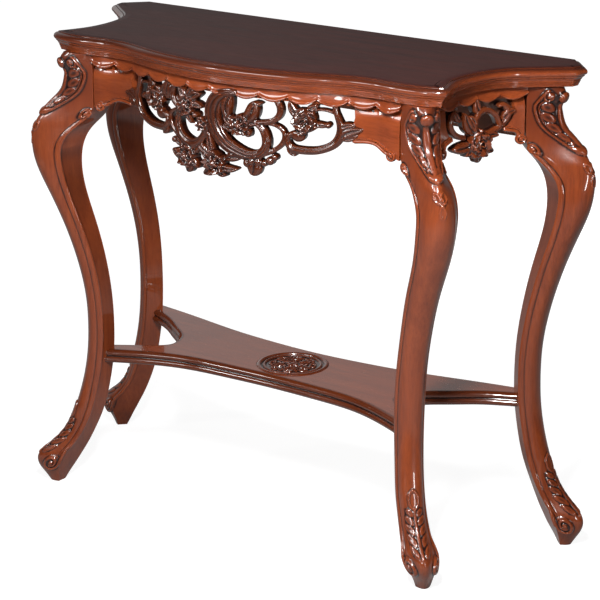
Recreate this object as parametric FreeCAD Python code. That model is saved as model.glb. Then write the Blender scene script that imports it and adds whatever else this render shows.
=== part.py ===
import FreeCAD, Part
import math
import os

from FreeCAD import Placement, Rotation, Vector

# Carved pier table: serpentine top, pierced aprons, four cabriole legs and a shaped shelf.
# Millimetres, +Z up, +Y to the wall, origin on the floor under the middle of the outline.

# Overall sizes
height = 850.0
panel_width = 1000.0
panel_depth = 383.0
overrun = 400.0
fit_clearance = 0.15

# Top board, its lipping and the build-up frame below it
top_thickness = 22.0
edge_overhang = 11.0
edge_width = 14.0
frame_thickness = 12.0
frame_opening_width = 560.0
frame_front_width = 96.0
frame_back_width = 60.0

# Legs: foot places, section and carved rolls
front_foot_spread = 827.4
back_foot_spread = 1026.2
foot_row_gap = 302.6
back_foot_inset = 56.7
front_leg_turn = 45.0
leg_sway = 100.0
leg_width = 50.0
scroll_radius = 15.0
scroll_length = 44.0
scroll_inset = 46.0
scroll_drop = 15.0
lip_radius = 7.5
lip_length = 28.0
lip_height = 711.0
foot_roll_radius = 14.0
foot_roll_length = 52.0
foot_roll_reach = 10.0
foot_roll_height = 42.0

# Rails, their lower edge and the scalloped strip
apron_thickness = 20.0
side_apron_thickness = 18.0
apron_rail = 19.0
arch_height = 78.0
apron_end_height = 102.0
arch_bead = 8.0
bead_proud = 4.0
bead_drop = 2.0
end_scroll_radius = 9.0
end_scroll_inset = 18.0
end_scroll_drop = 92.0
back_rail_height = 101.0
back_rail_setback = 1.0
lappet_proud = 7.0
lappet_drop = 19.0
lappet_rise = 7.0
front_lobes = 13
side_lobes = 4

# Carving: half span, drop below the rail and relief
carving_span = 240.0
carving_drop = 150.0
carving_back = 14.0
carving_proud = 4.0
leaf_proud = 6.0
flower_proud = 9.0
heart_proud = 15.0
band_width = 13.0
rose_radius = 17.0
flower_radius = 14.0
petal_count = 5
side_carving_drop = 104.0

# Corner blocks, screws and dowels
block_height = 50.0
block_reach = 70.0
block_width = 25.0
block_lap = 3.0
screw_radius = 2.5
screw_head_radius = 4.5
screw_head_height = 3.0
screw_bore_radius = 6.0
screw_seat = 20.0
screw_bite = 12.0
screw_spread = 60.0
top_screw_offset = 23.0
top_screw_seat = 26.0
top_screw_bite = 10.0
dowel_radius = 4.0
dowel_length = 40.0
dowel_high = 16.0
dowel_low = 56.0

# Shelf and its medallion
shelf_height = 260.0
shelf_thickness = 24.0
shelf_overhang = 10.0
shelf_lip = 2.0
medallion_radius = 66.0
medallion_from_back = 170.0
medallion_thickness = 4.0
medallion_relief = 2.0
medallion_flower_relief = 3.0
medallion_leaves = 8
medallion_petals = 4

# Levels and lines that follow from the sizes
top_underside = height - top_thickness
leg_height = top_underside - frame_thickness
back_line = (panel_depth + edge_overhang) / 2
half_panel = panel_width / 2
rail_underside = leg_height - apron_rail
back_foot_line = back_line - back_foot_inset
front_foot_line = back_foot_line - foot_row_gap

# Outline of the top, right half: shares of half the panel width and of its depth from the back
front_line_shares = [(0, 1), (0.2, 0.974), (0.36, 0.919), (0.5, 0.864), (0.58, 0.859),
                     (0.66, 0.87), (0.74, 0.867), (0.816, 0.836)]
side_line_shares = [(0.816, 0.836), (0.776, 0.687), (0.772, 0.582), (0.786, 0.465),
                    (0.824, 0.347), (0.9, 0.251), (0.994, 0.146)]
ear_shares = [(0.994, 0.146), (1, 0.104), (0.93, 0)]

# Edge profiles: shares of the overhang and of the thickness, from the top face down
top_edge_shares = [(0, 0), (0.1, 0.07), (0.55, 0.15), (0.88, 0.28), (1, 0.42), (0.92, 0.56),
                   (0.62, 0.68), (0.55, 0.78), (0.3, 0.9), (0.15, 1)]
frame_edge_shares = [(0.1, 0), (0.1, 0.14), (-0.06, 0.22), (-0.02, 0.38), (-0.16, 0.46),
                     (-0.12, 0.62), (-0.26, 0.7), (-0.26, 0.86), (-0.36, 1)]
shelf_edge_shares = [(0, 0), (0.35, 0.06), (0.7, 0.18), (0.8, 0.32), (0.62, 0.44), (0.6, 0.52),
                     (0.9, 0.62), (1, 0.76), (0.9, 0.9), (0.6, 1)]

# Leg sections from floor to knee: shares of the leg height, then outer, inner and arris reach
# as shares of the sway, then width as a share of the leg width
knee_shares = [(0, 0.105, -0.16, -0.03, 0.52), (0.018, 0.2, -0.25, -0.03, 0.72),
               (0.039, 0.31, -0.36, -0.03, 0.96), (0.056, 0.345, -0.445, -0.06, 1.08),
               (0.0735, 0.29, -0.53, -0.13, 1.1), (0.092, 0.11, -0.615, -0.26, 1.04),
               (0.1225, -0.15, -0.74, -0.45, 0.97), (0.1716, -0.36, -0.91, -0.64, 0.95),
               (0.233, -0.52, -1.04, -0.78, 0.94), (0.306, -0.635, -1.13, -0.88, 0.97),
               (0.368, -0.665, -1.15, -0.91, 1), (0.429, -0.65, -1.135, -0.895, 1),
               (0.527, -0.505, -1.035, -0.775, 1.02), (0.613, -0.28, -0.875, -0.58, 1.1),
               (0.686, -0.03, -0.715, -0.38, 1.2), (0.754, 0.19, -0.655, -0.25, 1.3),
               (0.797, 0.24, -0.72, -0.27, 1.34), (0.827, 0.22, -0.86, -0.43, 1.35),
               (0.852, 0.14, -1.07, -0.7, 1.31), (0.864, 0.07, -1.18, -0.855, 1.272)]
post_shares = [(0.864, 0.07), (0.885, -0.11), (0.901, -0.26), (0.919, -0.36), (0.942, -0.4),
               (0.968, -0.36), (1, -0.31)]
bulge_width_share = 0.62
knee_bulge_share = 0.84
post_bulge_share = 0.62

# Drift across the leg for each row of the two tables above, as shares of the sway: the legs curve
# more to the side than to the front, so their knees and ankles leave the diagonal of the post
front_drift_shares = [0, 0, -0.02, -0.04, -0.06, -0.08, -0.1, -0.12, -0.12, -0.11, -0.1, -0.08,
                      -0.025, 0.04, 0.12, 0.16, 0.17, 0.15, 0.09, 0]
back_drift_shares = [0, 0, -0.02, -0.02, -0.02, -0.01, 0, 0, 0, 0.005, 0.015, 0.03,
                     0.07, 0.085, 0.095, 0.105, 0.115, 0.105, 0.06, 0]
post_drift_shares = [0.14, 0.11, 0.08, 0.05, 0.02, 0, 0]
lip_drift_share = 0.13
foot_roll_row = 3

# Bow of the aprons: share along the span and share of the span that the face stands out
front_bow_shares = [(0, 0), (0.031, 0), (0.062, -0.006), (0.122, -0.003), (0.168, 0.009),
                    (0.228, 0.029), (0.349, 0.06), (0.5, 0.0755)]
side_bow_shares = [(0, 0), (0.26, -0.081), (0.49, -0.108), (0.78, -0.085), (1, 0)]

# Front carving bands: share of the half span, share of the drop, share of the band width
outer_scroll_shares = [(0.571, 0.347, 0.6), (0.535, 0.393, 0.8), (0.535, 0.467, 0.9),
                       (0.571, 0.52, 1), (0.646, 0.537, 1), (0.729, 0.53, 1), (0.804, 0.5, 1),
                       (0.867, 0.433, 1.15), (0.9, 0.333, 1.2), (0.9, 0.213, 0.95),
                       (0.875, 0.1, 0.7), (0.858, -0.03, 0.65)]
tendril_shares = [(0.72, 0.085, 0.5), (0.8, 0.065, 0.45), (0.87, 0.085, 0.5)]
upper_c_shares = [(0.43, -0.03, 0.7), (0.471, 0.06, 0.9), (0.471, 0.147, 0.9),
                  (0.433, 0.22, 0.8), (0.367, 0.26, 0.65), (0.28, 0.27, 0.55)]
crescent_shares = [(0.35, 0.287, 0.4), (0.45, 0.293, 0.5), (0.504, 0.367, 0.6),
                   (0.504, 0.44, 0.65), (0.467, 0.52, 0.65), (0.404, 0.587, 0.65),
                   (0.3, 0.66, 0.65)]
large_c_shares = [(0.142, -0.04, 0.8), (0.05, -0.013, 1.4), (-0.033, 0.073, 2.3),
                  (-0.071, 0.2, 2.8), (-0.0625, 0.327, 2.6), (-0.017, 0.453, 2.3),
                  (0.05, 0.56, 2.1), (0.1375, 0.627, 1.8), (0.233, 0.66, 1.5),
                  (0.317, 0.633, 1.3), (0.367, 0.553, 1.2), (0.371, 0.427, 1.1),
                  (0.333, 0.327, 0.9), (0.285, 0.275, 0.6)]
small_c_shares = [(-0.3875, 0.3, 0.8), (-0.421, 0.413, 1.1), (-0.4, 0.54, 1.4),
                  (-0.3375, 0.627, 1.55), (-0.258, 0.64, 1.5), (-0.192, 0.58, 1.2),
                  (-0.15, 0.487, 0.95), (-0.115, 0.38, 0.8)]

# Front leaves: root and tip as shares of the half span and the drop, width as a share of the length
paired_leaf_shares = [(0.87, 0.43, 1.06, 0.25, 0.45), (0.88, 0.33, 1, 0.21, 0.5),
                      (0.63, 0.19, 0.55, -0.03, 0.6), (0.7, 0.2, 0.83, 0.225, 0.45)]
single_leaf_shares = [(-0.3, 0.2, -0.25, -0.04, 0.6), (-0.3, 0.2, -0.43, 0.12, 0.5),
                      (-0.32, 0.2, -0.27, 0.4, 0.5), (-0.29, 0.2, -0.17, 0.2, 0.5),
                      (0.18, 0.32, 0.02, 0.36, 0.6), (0.18, 0.32, 0.26, 0.05, 0.5),
                      (0.18, 0.32, 0.31, 0.29, 0.5), (0.17, 0.33, 0.24, 0.45, 0.6),
                      (-0.33, 0.8, -0.48, 0.75, 0.5), (-0.33, 0.8, -0.32, 0.99, 0.6),
                      (-0.32, 0.8, -0.22, 0.92, 0.5), (-0.05, 0.8, -0.16, 0.96, 0.6),
                      (-0.05, 0.8, 0.035, 0.94, 0.6), (-0.04, 0.8, 0.14, 0.84, 0.4),
                      (-0.05, 0.8, -0.1, 0.46, 0.35), (0.285, 0.7, 0.265, 0.89, 1.1)]
paired_flower_shares = [(0.66, 0.2, 1)]
single_flower_shares = [(-0.317, 0.207, 0.85), (0.175, 0.32, 0.95), (-0.165, 0.39, 0.7),
                        (-0.325, 0.8, 1.05), (-0.05, 0.815, 1.05)]
bud_shares = [(0.25, 0.745, 0.6), (0.33, 0.725, 0.6), (0.4, 0.69, 0.5)]
bulb_share = (0.605, 0.375, 0.7)
arch_shares = [(0.93, 0.45), (0.85, 0.9), (0.79, 1)]
panel_edge_shares = [(0.98, 0), (1, 0.11), (0.985, 0.2), (0.96, 0.3), (0.985, 0.41)]

# Side carving: share of the chord, share of the drop, share of the band width
side_c_shares = [(0.74, 0.125, 0.5), (0.79, 0.095, 0.7), (0.83, 0.17, 0.8), (0.83, 0.29, 0.8),
                 (0.8, 0.385, 0.75), (0.74, 0.48, 0.75), (0.62, 0.555, 0.7)]
side_arch_shares = [(0.5, 0.5, 0.9), (0.5, 0.29, 0.9), (0.57, 0.155, 0.9), (0.65, 0.17, 0.8),
                    (0.72, 0.28, 0.7), (0.76, 0.46, 0.7)]
side_leaf_shares = [(0.5, 0.65, 0.22, 0.69, 0.45), (0.53, 0.65, 0.71, 0.84, 0.45),
                    (0.525, 0.65, 0.525, 1, 0.6), (0.53, 0.62, 0.75, 0.6, 0.4),
                    (0.5, 0.5, 0.36, 0.14, 0.35), (0.55, 0.2, 0.5, -0.04, 0.7)]
side_rose_share = (0.525, 0.655)
side_panel_edge_shares = [(0.73, 0), (0.8, 0.2), (0.72, 0.4), (0.6, 0.53)]

# Flower: shares of its radius for the middle disc, the petal circle and the petals
flower_middle_share = 0.67
petal_circle_share = 0.6
petal_share = 0.4

# Medallion: shares of its radius for the two rings, then root, tip and width of a leaf, then a petal
medallion_ring_shares = [(1, 0.9), (0.84, 0.77)]
medallion_leaf_shares = (0.26, 0.74, 0.42)
medallion_petal_share = 0.12

# Shelf outline, right half: shares of the back inner corner's reach and of the run between corners
shelf_front_shares = [(0, 0.195), (0.25, 0.181), (0.5, 0.132), (0.65, 0.042), (0.775, -0.061),
                      (0.8625, -0.142)]
shelf_side_shares = [(0.88, -0.048), (0.75, 0.11), (0.655, 0.231), (0.625, 0.298), (0.625, 0.419),
                     (0.655, 0.532), (0.772, 0.713), (0.868, 0.844), (1, 0.967), (1.075, 1.03)]
shelf_back_shares = [(1.058, 1.1), (1, 1.085), (0.75, 1.003), (0.5, 0.913), (0.25, 0.859),
                     (0, 0.837)]


# Curves and outlines

def spline(points):
    curve = Part.BSplineCurve()
    curve.interpolate(points)
    return curve


def mirrored(points):
    return [Vector(-point.x, point.y, point.z) for point in reversed(points)]


def tangents(points):
    if len(points) == 2:
        along = (points[1] - points[0]).normalize()
        return [along, along]
    curve = spline(points)
    return [Vector(*curve.tangent(curve.parameter(point))[0]) for point in points]


def normals(points):
    return [Vector(along.y, -along.x, 0) for along in tangents(points)]


def corner_shift(normal_a, offset_a, normal_b, offset_b):
    """Move of a corner whose two sides move out by their own offsets."""
    turn = normal_a.x * normal_b.y - normal_a.y * normal_b.x
    if abs(turn) < math.sin(math.radians(1)):
        return normal_a * offset_a
    move_x = (offset_a * normal_b.y - offset_b * normal_a.y) / turn
    move_y = (normal_a.x * offset_b - normal_b.x * offset_a) / turn
    return Vector(move_x, move_y, 0)


def outline_wire(stretches, offset, level):
    """Closed wire of (points, factor) stretches, each moved out by its factor of the offset."""
    facing = [normals(points) for points, factor in stretches]
    edges = []
    for index, (points, factor) in enumerate(stretches):
        before = index - 1
        after = (index + 1) % len(stretches)
        own = facing[index]
        reach = offset * factor
        start = corner_shift(facing[before][-1], offset * stretches[before][1], own[0], reach)
        end = corner_shift(own[-1], reach, facing[after][0], offset * stretches[after][1])
        shifts = [start] + [normal * reach for normal in own[1:-1]] + [end]
        lift = Vector(0, 0, level)
        placed = [point + shift + lift for point, shift in zip(points, shifts)]
        if len(placed) == 2:
            edges.append(Part.LineSegment(placed[0], placed[1]).toShape())
        else:
            edges.append(spline(placed).toShape())
    return Part.Wire(edges)


def moulded_slab(stretches, overhang, thickness, top_level, profile_shares):
    wires = []
    for out_share, down_share in reversed(profile_shares):
        level = top_level - thickness * down_share
        wires.append(outline_wire(stretches, overhang * out_share, level))
    return Part.makeLoft(wires, True, True)


def outline_prism(stretches, offset, bottom, top):
    face = Part.Face(outline_wire(stretches, offset, bottom))
    return face.extrude(Vector(0, 0, top - bottom))


def half_space(point, normal):
    """Large box on the side of a plane that its normal points to."""
    box = Part.makeBox(4 * overrun, 4 * overrun, 4 * overrun)
    box.translate(Vector(0, -2 * overrun, -overrun))
    box.Placement = Placement(point, Rotation(Vector(1, 0, 0), normal)) * box.Placement
    return box


def largest(shape):
    return max(shape.Solids, key=lambda solid: solid.Volume)


def fused(shapes):
    return shapes[0].multiFuse(shapes[1:]).removeSplitter()


def mirror_x(shape):
    return shape.mirror(Vector(0, 0, 0), Vector(1, 0, 0))


# Legs

def leg_section(row, bulge_share, drift_share, outer_drift_share):
    high_share, outer_share, inner_share, arris_share, width_share = row
    level = leg_height * high_share
    outer = leg_sway * outer_share
    arris = leg_sway * arris_share
    half = leg_width * width_share / 2
    drift = leg_sway * drift_share
    outer_drift = leg_sway * outer_drift_share
    inner_corner = Vector(leg_sway * inner_share, drift, level)
    left = Vector(arris, drift + half, level)
    right = Vector(arris, drift - half, level)
    bulge = arris + (outer - arris) * bulge_share
    middle = drift + (outer_drift - drift) * bulge_share
    bulge_half = half * bulge_width_share
    rounded = spline([right, Vector(bulge, middle - bulge_half, level), Vector(outer, outer_drift, level),
                      Vector(bulge, middle + bulge_half, level), left])
    return Part.Wire([Part.LineSegment(inner_corner, right).toShape(), rounded.toShape(),
                      Part.LineSegment(left, inner_corner).toShape()])


def cross_roll(radius, length, reach, level, drift_share):
    """Roll across the leg, whose ends show as volutes on both faces."""
    start = Vector(reach, leg_sway * drift_share - length / 2, level)
    return Part.makeCylinder(radius, length, start, Vector(0, 1, 0))


def leg_blank(drift_shares):
    outer_drift_shares = drift_shares[:-1] + post_drift_shares[:1]
    bulge_shares = [knee_bulge_share] * (len(knee_shares) - 1) + [post_bulge_share]
    sections = zip(knee_shares, bulge_shares, drift_shares, outer_drift_shares)
    knee = Part.makeLoft([leg_section(*section) for section in sections], True, False)
    inner_share, arris_share, width_share = knee_shares[-1][2:]
    post_rows = [(high, outer, inner_share, arris_share, width_share) for high, outer in post_shares]
    post = Part.makeLoft([leg_section(row, post_bulge_share, drift_shares[-1], drift)
                          for row, drift in zip(post_rows, post_drift_shares)], True, False)
    rolls = [cross_roll(scroll_radius, scroll_length, -scroll_inset, leg_height - scroll_drop, 0),
             cross_roll(lip_radius, lip_length, 0, lip_height, lip_drift_share),
             cross_roll(foot_roll_radius, foot_roll_length, foot_roll_reach, foot_roll_height,
                        drift_shares[foot_roll_row])]
    return fused([knee, post] + rolls)


def leg_frame(foot_x, foot_y, turn):
    return Placement(Vector(foot_x, foot_y, 0), Rotation(Vector(0, 0, 1), turn))


leg_drifts = {"front_right": front_drift_shares, "back_right": back_drift_shares}
leg_frames = {
    "front_right": leg_frame(front_foot_spread / 2, front_foot_line, -front_leg_turn),
    "back_right": leg_frame(back_foot_spread / 2, back_foot_line, 0),
}


def post_point(corner, reach_share, side):
    """Corner of the post in plan; side is 1, 0 or -1 across the leg."""
    half = leg_width * knee_shares[-1][4] / 2
    return leg_frames[corner].multVec(Vector(leg_sway * reach_share, half * side, 0))


inner_share = knee_shares[-1][2]
arris_share = knee_shares[-1][3]
front_inner = post_point("front_right", inner_share, 0)
front_joint = post_point("front_right", arris_share, -1)
front_side_joint = post_point("front_right", arris_share, 1)
back_inner = post_point("back_right", inner_share, 0)
back_side_joint = post_point("back_right", arris_share, -1)
back_joint = post_point("back_right", arris_share, 1)


def leg_inner_corner(corner, level, drifts):
    """Inner corner of a leg at a height, between the rows of its table, with its drift if one is given."""
    rows = list(zip(knee_shares, drifts))
    for (low, low_drift), (high, high_drift) in zip(rows, rows[1:]):
        if leg_height * low[0] <= level <= leg_height * high[0]:
            part = (level / leg_height - low[0]) / (high[0] - low[0])
            reach = leg_sway * (low[2] + part * (high[2] - low[2]))
            across = leg_sway * (low_drift + part * (high_drift - low_drift))
            return leg_frames[corner].multVec(Vector(reach, across, 0))
    return post_point(corner, inner_share, 0)


# Apron faces in plan

front_span = 2 * front_joint.x
right_bow = [Vector(front_joint.x - front_span * along, front_joint.y - front_span * out, 0)
             for along, out in front_bow_shares]
front_face = [Vector(-point.x, point.y, 0) for point in right_bow[:-1]] + right_bow[::-1]

side_chord = back_side_joint - front_side_joint
side_along = Vector(side_chord.x, side_chord.y, 0).normalize()
side_out = Vector(side_along.y, -side_along.x, 0)
side_span = side_chord.Length
side_face = [front_side_joint + side_along * (side_span * along) + side_out * (side_span * out)
             for along, out in side_bow_shares]


def curved_slab(face, proud, back, bottom, top):
    """Upright slab that follows a face in plan, run on past both ends into the posts."""
    facing = normals(face)
    ends = tangents(face)
    run_on = leg_width / 4
    path = [face[0] - ends[0] * run_on] + face + [face[-1] + ends[-1] * run_on]
    facing = [facing[0]] + facing + [facing[-1]]
    lift = Vector(0, 0, bottom)
    front = [point + normal * proud + lift for point, normal in zip(path, facing)]
    rear = [point - normal * back + lift for point, normal in zip(path, facing)]
    edges = [spline(front).toShape(), Part.LineSegment(front[-1], rear[-1]).toShape(),
             spline(rear[::-1]).toShape(), Part.LineSegment(rear[0], front[0]).toShape()]
    return Part.Face(Part.Wire(edges)).extrude(Vector(0, 0, top - bottom))


# Upright boards: outlines are drawn in x and z, then run through the slab along y

side_frame = Placement(front_side_joint, Rotation(Vector(1, 0, 0), side_along))
front_frame = Placement()


def through(face, frame):
    """Prism of an upright outline, run well past the slab on both sides."""
    prism = face.extrude(Vector(0, 2 * overrun, 0))
    prism.translate(Vector(0, -overrun, 0))
    prism.Placement = frame.multiply(prism.Placement)
    return prism


def polygon_face(points):
    return Part.Face(Part.makePolygon(points + points[:1]))


def edges_face(edges):
    return Part.Face(Part.Wire(edges))


def line(start, end):
    return Part.LineSegment(start, end).toShape()


def band_face(rows):
    """Flat band along a curve, from rows of x, z and width."""
    centre = [Vector(x, 0, z) for x, z, width in rows]
    across = [Vector(-along.z, 0, along.x) for along in tangents(centre)]
    upper = [point + turn * (row[2] / 2) for point, turn, row in zip(centre, across, rows)]
    lower = [point - turn * (row[2] / 2) for point, turn, row in zip(centre, across, rows)]
    return edges_face([spline(upper).toShape(), line(upper[-1], lower[-1]),
                       spline(lower[::-1]).toShape(), line(lower[0], upper[0])])


def leaf_face(root_x, root_z, tip_x, tip_z, width_share):
    root = Vector(root_x, 0, root_z)
    tip = Vector(tip_x, 0, tip_z)
    spine = tip - root
    across = Vector(-spine.z, 0, spine.x) * (width_share / 2)
    middle = root + spine / 2
    return edges_face([Part.Arc(root, middle + across, tip).toShape(),
                       Part.Arc(tip, middle - across, root).toShape()])


def disc_face(x, z, radius):
    circle = Part.Circle(Vector(x, 0, z), Vector(0, 1, 0), radius)
    return edges_face([circle.toShape()])


def flower_faces(x, z, radius):
    """Outer petals of a flower as overlapping discs round its centre."""
    faces = [disc_face(x, z, radius * flower_middle_share)]
    circle = radius * petal_circle_share
    for index in range(petal_count):
        angle = 2 * math.pi * index / petal_count
        petal_x = x + circle * math.sin(angle)
        petal_z = z + circle * math.cos(angle)
        faces.append(disc_face(petal_x, petal_z, radius * petal_share))
    return faces


parts = {}


# Top

def panel_point(width_share, depth_share):
    return Vector(half_panel * width_share, back_line - panel_depth * depth_share, 0)


def top_outline():
    front_half = [panel_point(*share) for share in front_line_shares]
    side = [panel_point(*share) for share in side_line_shares]
    ear = [panel_point(*share) for share in ear_shares]
    right = [(side, 1), (ear[:2], 1), (ear[1:], 1)]
    left = [(mirrored(points), factor) for points, factor in reversed(right)]
    back = ear[-1:] + mirrored(ear[-1:])
    return [(mirrored(front_half[1:]) + front_half, 1)] + right + [(back, 0)] + left


def mitred_front(ring, outline):
    """Front stretch of a moulded ring, cut on the mitres of its two corners."""
    front, side = outline[0][0], outline[1][0]
    mitre = corner_shift(normals(front)[-1], 1, normals(side)[0], 1)
    right_cut = half_space(side[0], Vector(mitre.y, -mitre.x, 0))
    return ring.common(right_cut).common(mirror_x(right_cut))


def right_of(shape, place):
    return shape.common(half_space(Vector(place, 0, 0), Vector(1, 0, 0)))


def make_top():
    outline = top_outline()
    slab = moulded_slab(outline, edge_overhang, top_thickness, height, top_edge_shares)
    core = outline_prism(outline, -edge_width, top_underside, height)
    ring = slab.cut(core)
    front = mitred_front(ring, outline)
    side = right_of(ring.cut(front), 0)
    parts["top_panel"] = core
    parts["top_edge_front"] = front
    parts["top_edge_right"] = side


def make_frame():
    outline = top_outline()
    slab = moulded_slab(outline, edge_overhang, frame_thickness, top_underside, frame_edge_shares)
    front_line = Vector(0, back_line - panel_depth + frame_front_width, 0)
    back_strip = Vector(0, back_line - frame_back_width, 0)
    half_opening = frame_opening_width / 2
    front = mitred_front(slab, outline).common(half_space(front_line, Vector(0, -1, 0)))
    side = right_of(slab.cut(front), half_opening)
    back = slab.common(half_space(back_strip, Vector(0, 1, 0)))
    parts["top_frame_front"] = front
    parts["top_frame_right"] = side
    parts["top_frame_back"] = back.cut(side).cut(mirror_x(side))


# Rails, scalloped strips and carving

def apron_outline(middle, half, edge_points):
    """Upright face of an apron with an open middle, and the points of its right lower edge."""
    run_on = leg_width / 4
    low = leg_height - apron_end_height
    rise = apron_end_height - arch_height
    corner = Vector(half + run_on, 0, low)
    arch = [Vector(half * along, 0, low + rise * up) for along, up in arch_shares]
    lower = [corner] + arch + edge_points[-1:]
    inner = edge_points[::-1]
    top = Vector(half + run_on, 0, leg_height)
    edges = [line(mirrored([top])[0], top), line(top, corner), spline(lower).toShape(),
             spline(inner).toShape(), line(inner[-1], mirrored(inner[-1:])[0]),
             spline(mirrored(inner)).toShape(), spline(mirrored(lower)).toShape(),
             line(mirrored([corner])[0], mirrored([top])[0])]
    face = edges_face(edges)
    face.translate(Vector(middle, 0, 0))
    return face, lower


def apron(face_line, frame, middle, half, edge_points, thickness):
    low = leg_height - apron_end_height - end_scroll_radius
    outline, lower = apron_outline(middle, half, edge_points)
    board = through(outline, frame).common(curved_slab(face_line, 0, thickness, low, leg_height))
    bead_rows = [(point.x, point.z + arch_bead / 2 - bead_drop, arch_bead) for point in lower]
    bead = band_face(bead_rows)
    scroll = disc_face(half - end_scroll_inset, leg_height - end_scroll_drop, end_scroll_radius)
    bead_slab = curved_slab(face_line, bead_proud, thickness / 2, low, leg_height)
    pieces = [board]
    for flat in (bead, scroll):
        for shape in (flat, mirror_x(flat)):
            shape.translate(Vector(middle, 0, 0))
            pieces.append(through(shape, frame).common(bead_slab))
    return fused(pieces)


def lappet(face_line, frame, middle, half, lobes):
    low = leg_height - lappet_drop
    cusp = low + lappet_rise
    pitch = 2 * half / lobes
    edges = []
    for index in range(lobes):
        start = middle - half + index * pitch
        edges.append(Part.Arc(Vector(start, 0, cusp), Vector(start + pitch / 2, 0, low),
                              Vector(start + pitch, 0, cusp)).toShape())
    left_top = Vector(middle - half, 0, leg_height)
    right_top = Vector(middle + half, 0, leg_height)
    edges += [line(Vector(middle + half, 0, cusp), right_top), line(right_top, left_top),
              line(left_top, Vector(middle - half, 0, cusp))]
    slab = curved_slab(face_line, lappet_proud, 0, low, leg_height)
    return through(edges_face(edges), frame).common(slab)


def relief_layers(groups, frame, face_line, low):
    """Bands, leaves, petals and flower hearts, each layer standing further out than the last."""
    layers = []
    for faces, proud in zip(groups, (carving_proud, leaf_proud, flower_proud, heart_proud)):
        slab = curved_slab(face_line, proud, carving_back, low, leg_height)
        layers.append(fused([through(face, frame) for face in faces]).common(slab))
    return layers


def both_sides(faces):
    return faces + [mirror_x(face) for face in faces]


def front_place(x_share, drop_share):
    return carving_span * x_share, rail_underside - carving_drop * drop_share


def front_band(rows):
    return band_face([(*front_place(x, drop), band_width * width) for x, drop, width in rows])


def front_leaf(row):
    return leaf_face(*front_place(row[0], row[1]), *front_place(row[2], row[3]), row[4])


def make_front_carving(blockers):
    low = rail_underside - carving_drop - flower_radius
    bands = both_sides([front_band(rows) for rows in
                        (outer_scroll_shares, tendril_shares, upper_c_shares, crescent_shares)])
    bands += [front_band(rows) for rows in (large_c_shares, small_c_shares)]
    leaves = both_sides([front_leaf(row) for row in paired_leaf_shares])
    leaves += [front_leaf(row) for row in single_leaf_shares]
    bulb = disc_face(*front_place(*bulb_share[:2]), flower_radius * bulb_share[2])
    leaves += both_sides([bulb])
    leaves += [disc_face(*front_place(x, drop), flower_radius * size) for x, drop, size in bud_shares]
    petals = []
    hearts = []
    blooms = [(x, drop, rose_radius * size) for x, drop, size in paired_flower_shares]
    blooms += [(-x, drop, size) for x, drop, size in blooms]
    blooms += [(x, drop, flower_radius * size) for x, drop, size in single_flower_shares]
    for x, drop, radius in blooms:
        petals += flower_faces(*front_place(x, drop), radius)
        hearts.append(disc_face(*front_place(x, drop), radius / 2))
    layers = relief_layers((bands, leaves, petals, hearts), front_frame, front_face, low)
    return largest(fused(layers).cut(fused(blockers)))


def side_place(x_share, drop_share):
    return side_span * x_share, rail_underside - side_carving_drop * drop_share


def make_side_carving(blockers):
    low = rail_underside - side_carving_drop - flower_radius
    scroll = [(*side_place(x, drop), band_width * width) for x, drop, width in side_c_shares]
    arch = [(*side_place(x, drop), band_width * width) for x, drop, width in side_arch_shares]
    twin = [(side_span - x, z, width) for x, z, width in scroll]
    bands = [band_face(rows) for rows in (scroll, twin, arch)]
    leaves = [leaf_face(*side_place(row[0], row[1]), *side_place(row[2], row[3]), row[4])
              for row in side_leaf_shares]
    rose_x, rose_z = side_place(*side_rose_share)
    petals = flower_faces(rose_x, rose_z, rose_radius)
    heart = [disc_face(rose_x, rose_z, rose_radius / 2)]
    layers = relief_layers((bands, leaves, petals, heart), side_frame, side_face, low)
    return largest(fused(layers).cut(fused(blockers)))


def make_rails(legs):
    front_edge = [Vector(x, 0, z) for x, z in (front_place(*share) for share in panel_edge_shares)]
    front = apron(front_face, front_frame, 0, front_joint.x, front_edge, apron_thickness)
    parts["apron_front"] = largest(front.cut(legs["front_right"]).cut(legs["front_left"]))
    strip = lappet(front_face, front_frame, 0, front_joint.x, front_lobes)
    parts["lappet_front"] = largest(strip.cut(legs["front_right"]).cut(legs["front_left"]))
    half = side_span / 2
    side_edge = [Vector(half * along, 0, rail_underside - side_carving_drop * drop)
                 for along, drop in side_panel_edge_shares]
    side = apron(side_face, side_frame, half, half, side_edge, side_apron_thickness)
    parts["apron_right"] = largest(side.cut(legs["front_right"]).cut(legs["back_right"]))
    strip = lappet(side_face, side_frame, half, half, side_lobes)
    parts["lappet_right"] = largest(strip.cut(legs["front_right"]).cut(legs["back_right"]))
    rail = Part.makeBox(2 * back_joint.x, apron_thickness, back_rail_height,
                        Vector(-back_joint.x, back_joint.y - back_rail_setback - apron_thickness,
                               leg_height - back_rail_height))
    parts["apron_back"] = largest(rail.cut(legs["back_right"]).cut(legs["back_left"]))
    parts["front_carving"] = make_front_carving([parts["apron_front"], parts["lappet_front"]])
    parts["side_carving_right"] = make_side_carving([parts["apron_right"], parts["lappet_right"]])


# Corner blocks, screws and dowels

def unit(vector):
    return Vector(vector).normalize()


back_normal = Vector(0, 1, 0)
front_normal = Vector(0, -1, 0)
inward = Vector(-1, 0, 0)
side_end = tangents(side_face)[-1]
side_end_normal = Vector(side_end.y, -side_end.x, 0)
rail_inner = back_joint.y - back_rail_setback - apron_thickness
side_inner = back_side_joint - side_end_normal * side_apron_thickness

# For each corner: inner post corner, then run, normal and distance of the two rails that meet there
corner_runs = {
    "front_right": (front_inner, [
        (inward, front_normal, front_inner.y - front_joint.y - apron_thickness),
        (back_normal, Vector(1, 0, 0), front_side_joint.x - front_inner.x - side_apron_thickness)]),
    "back_right": (back_inner, [
        (inward, back_normal, rail_inner - back_inner.y),
        (-side_end, side_end_normal, (side_inner - back_inner).dot(side_end_normal))]),
}


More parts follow.
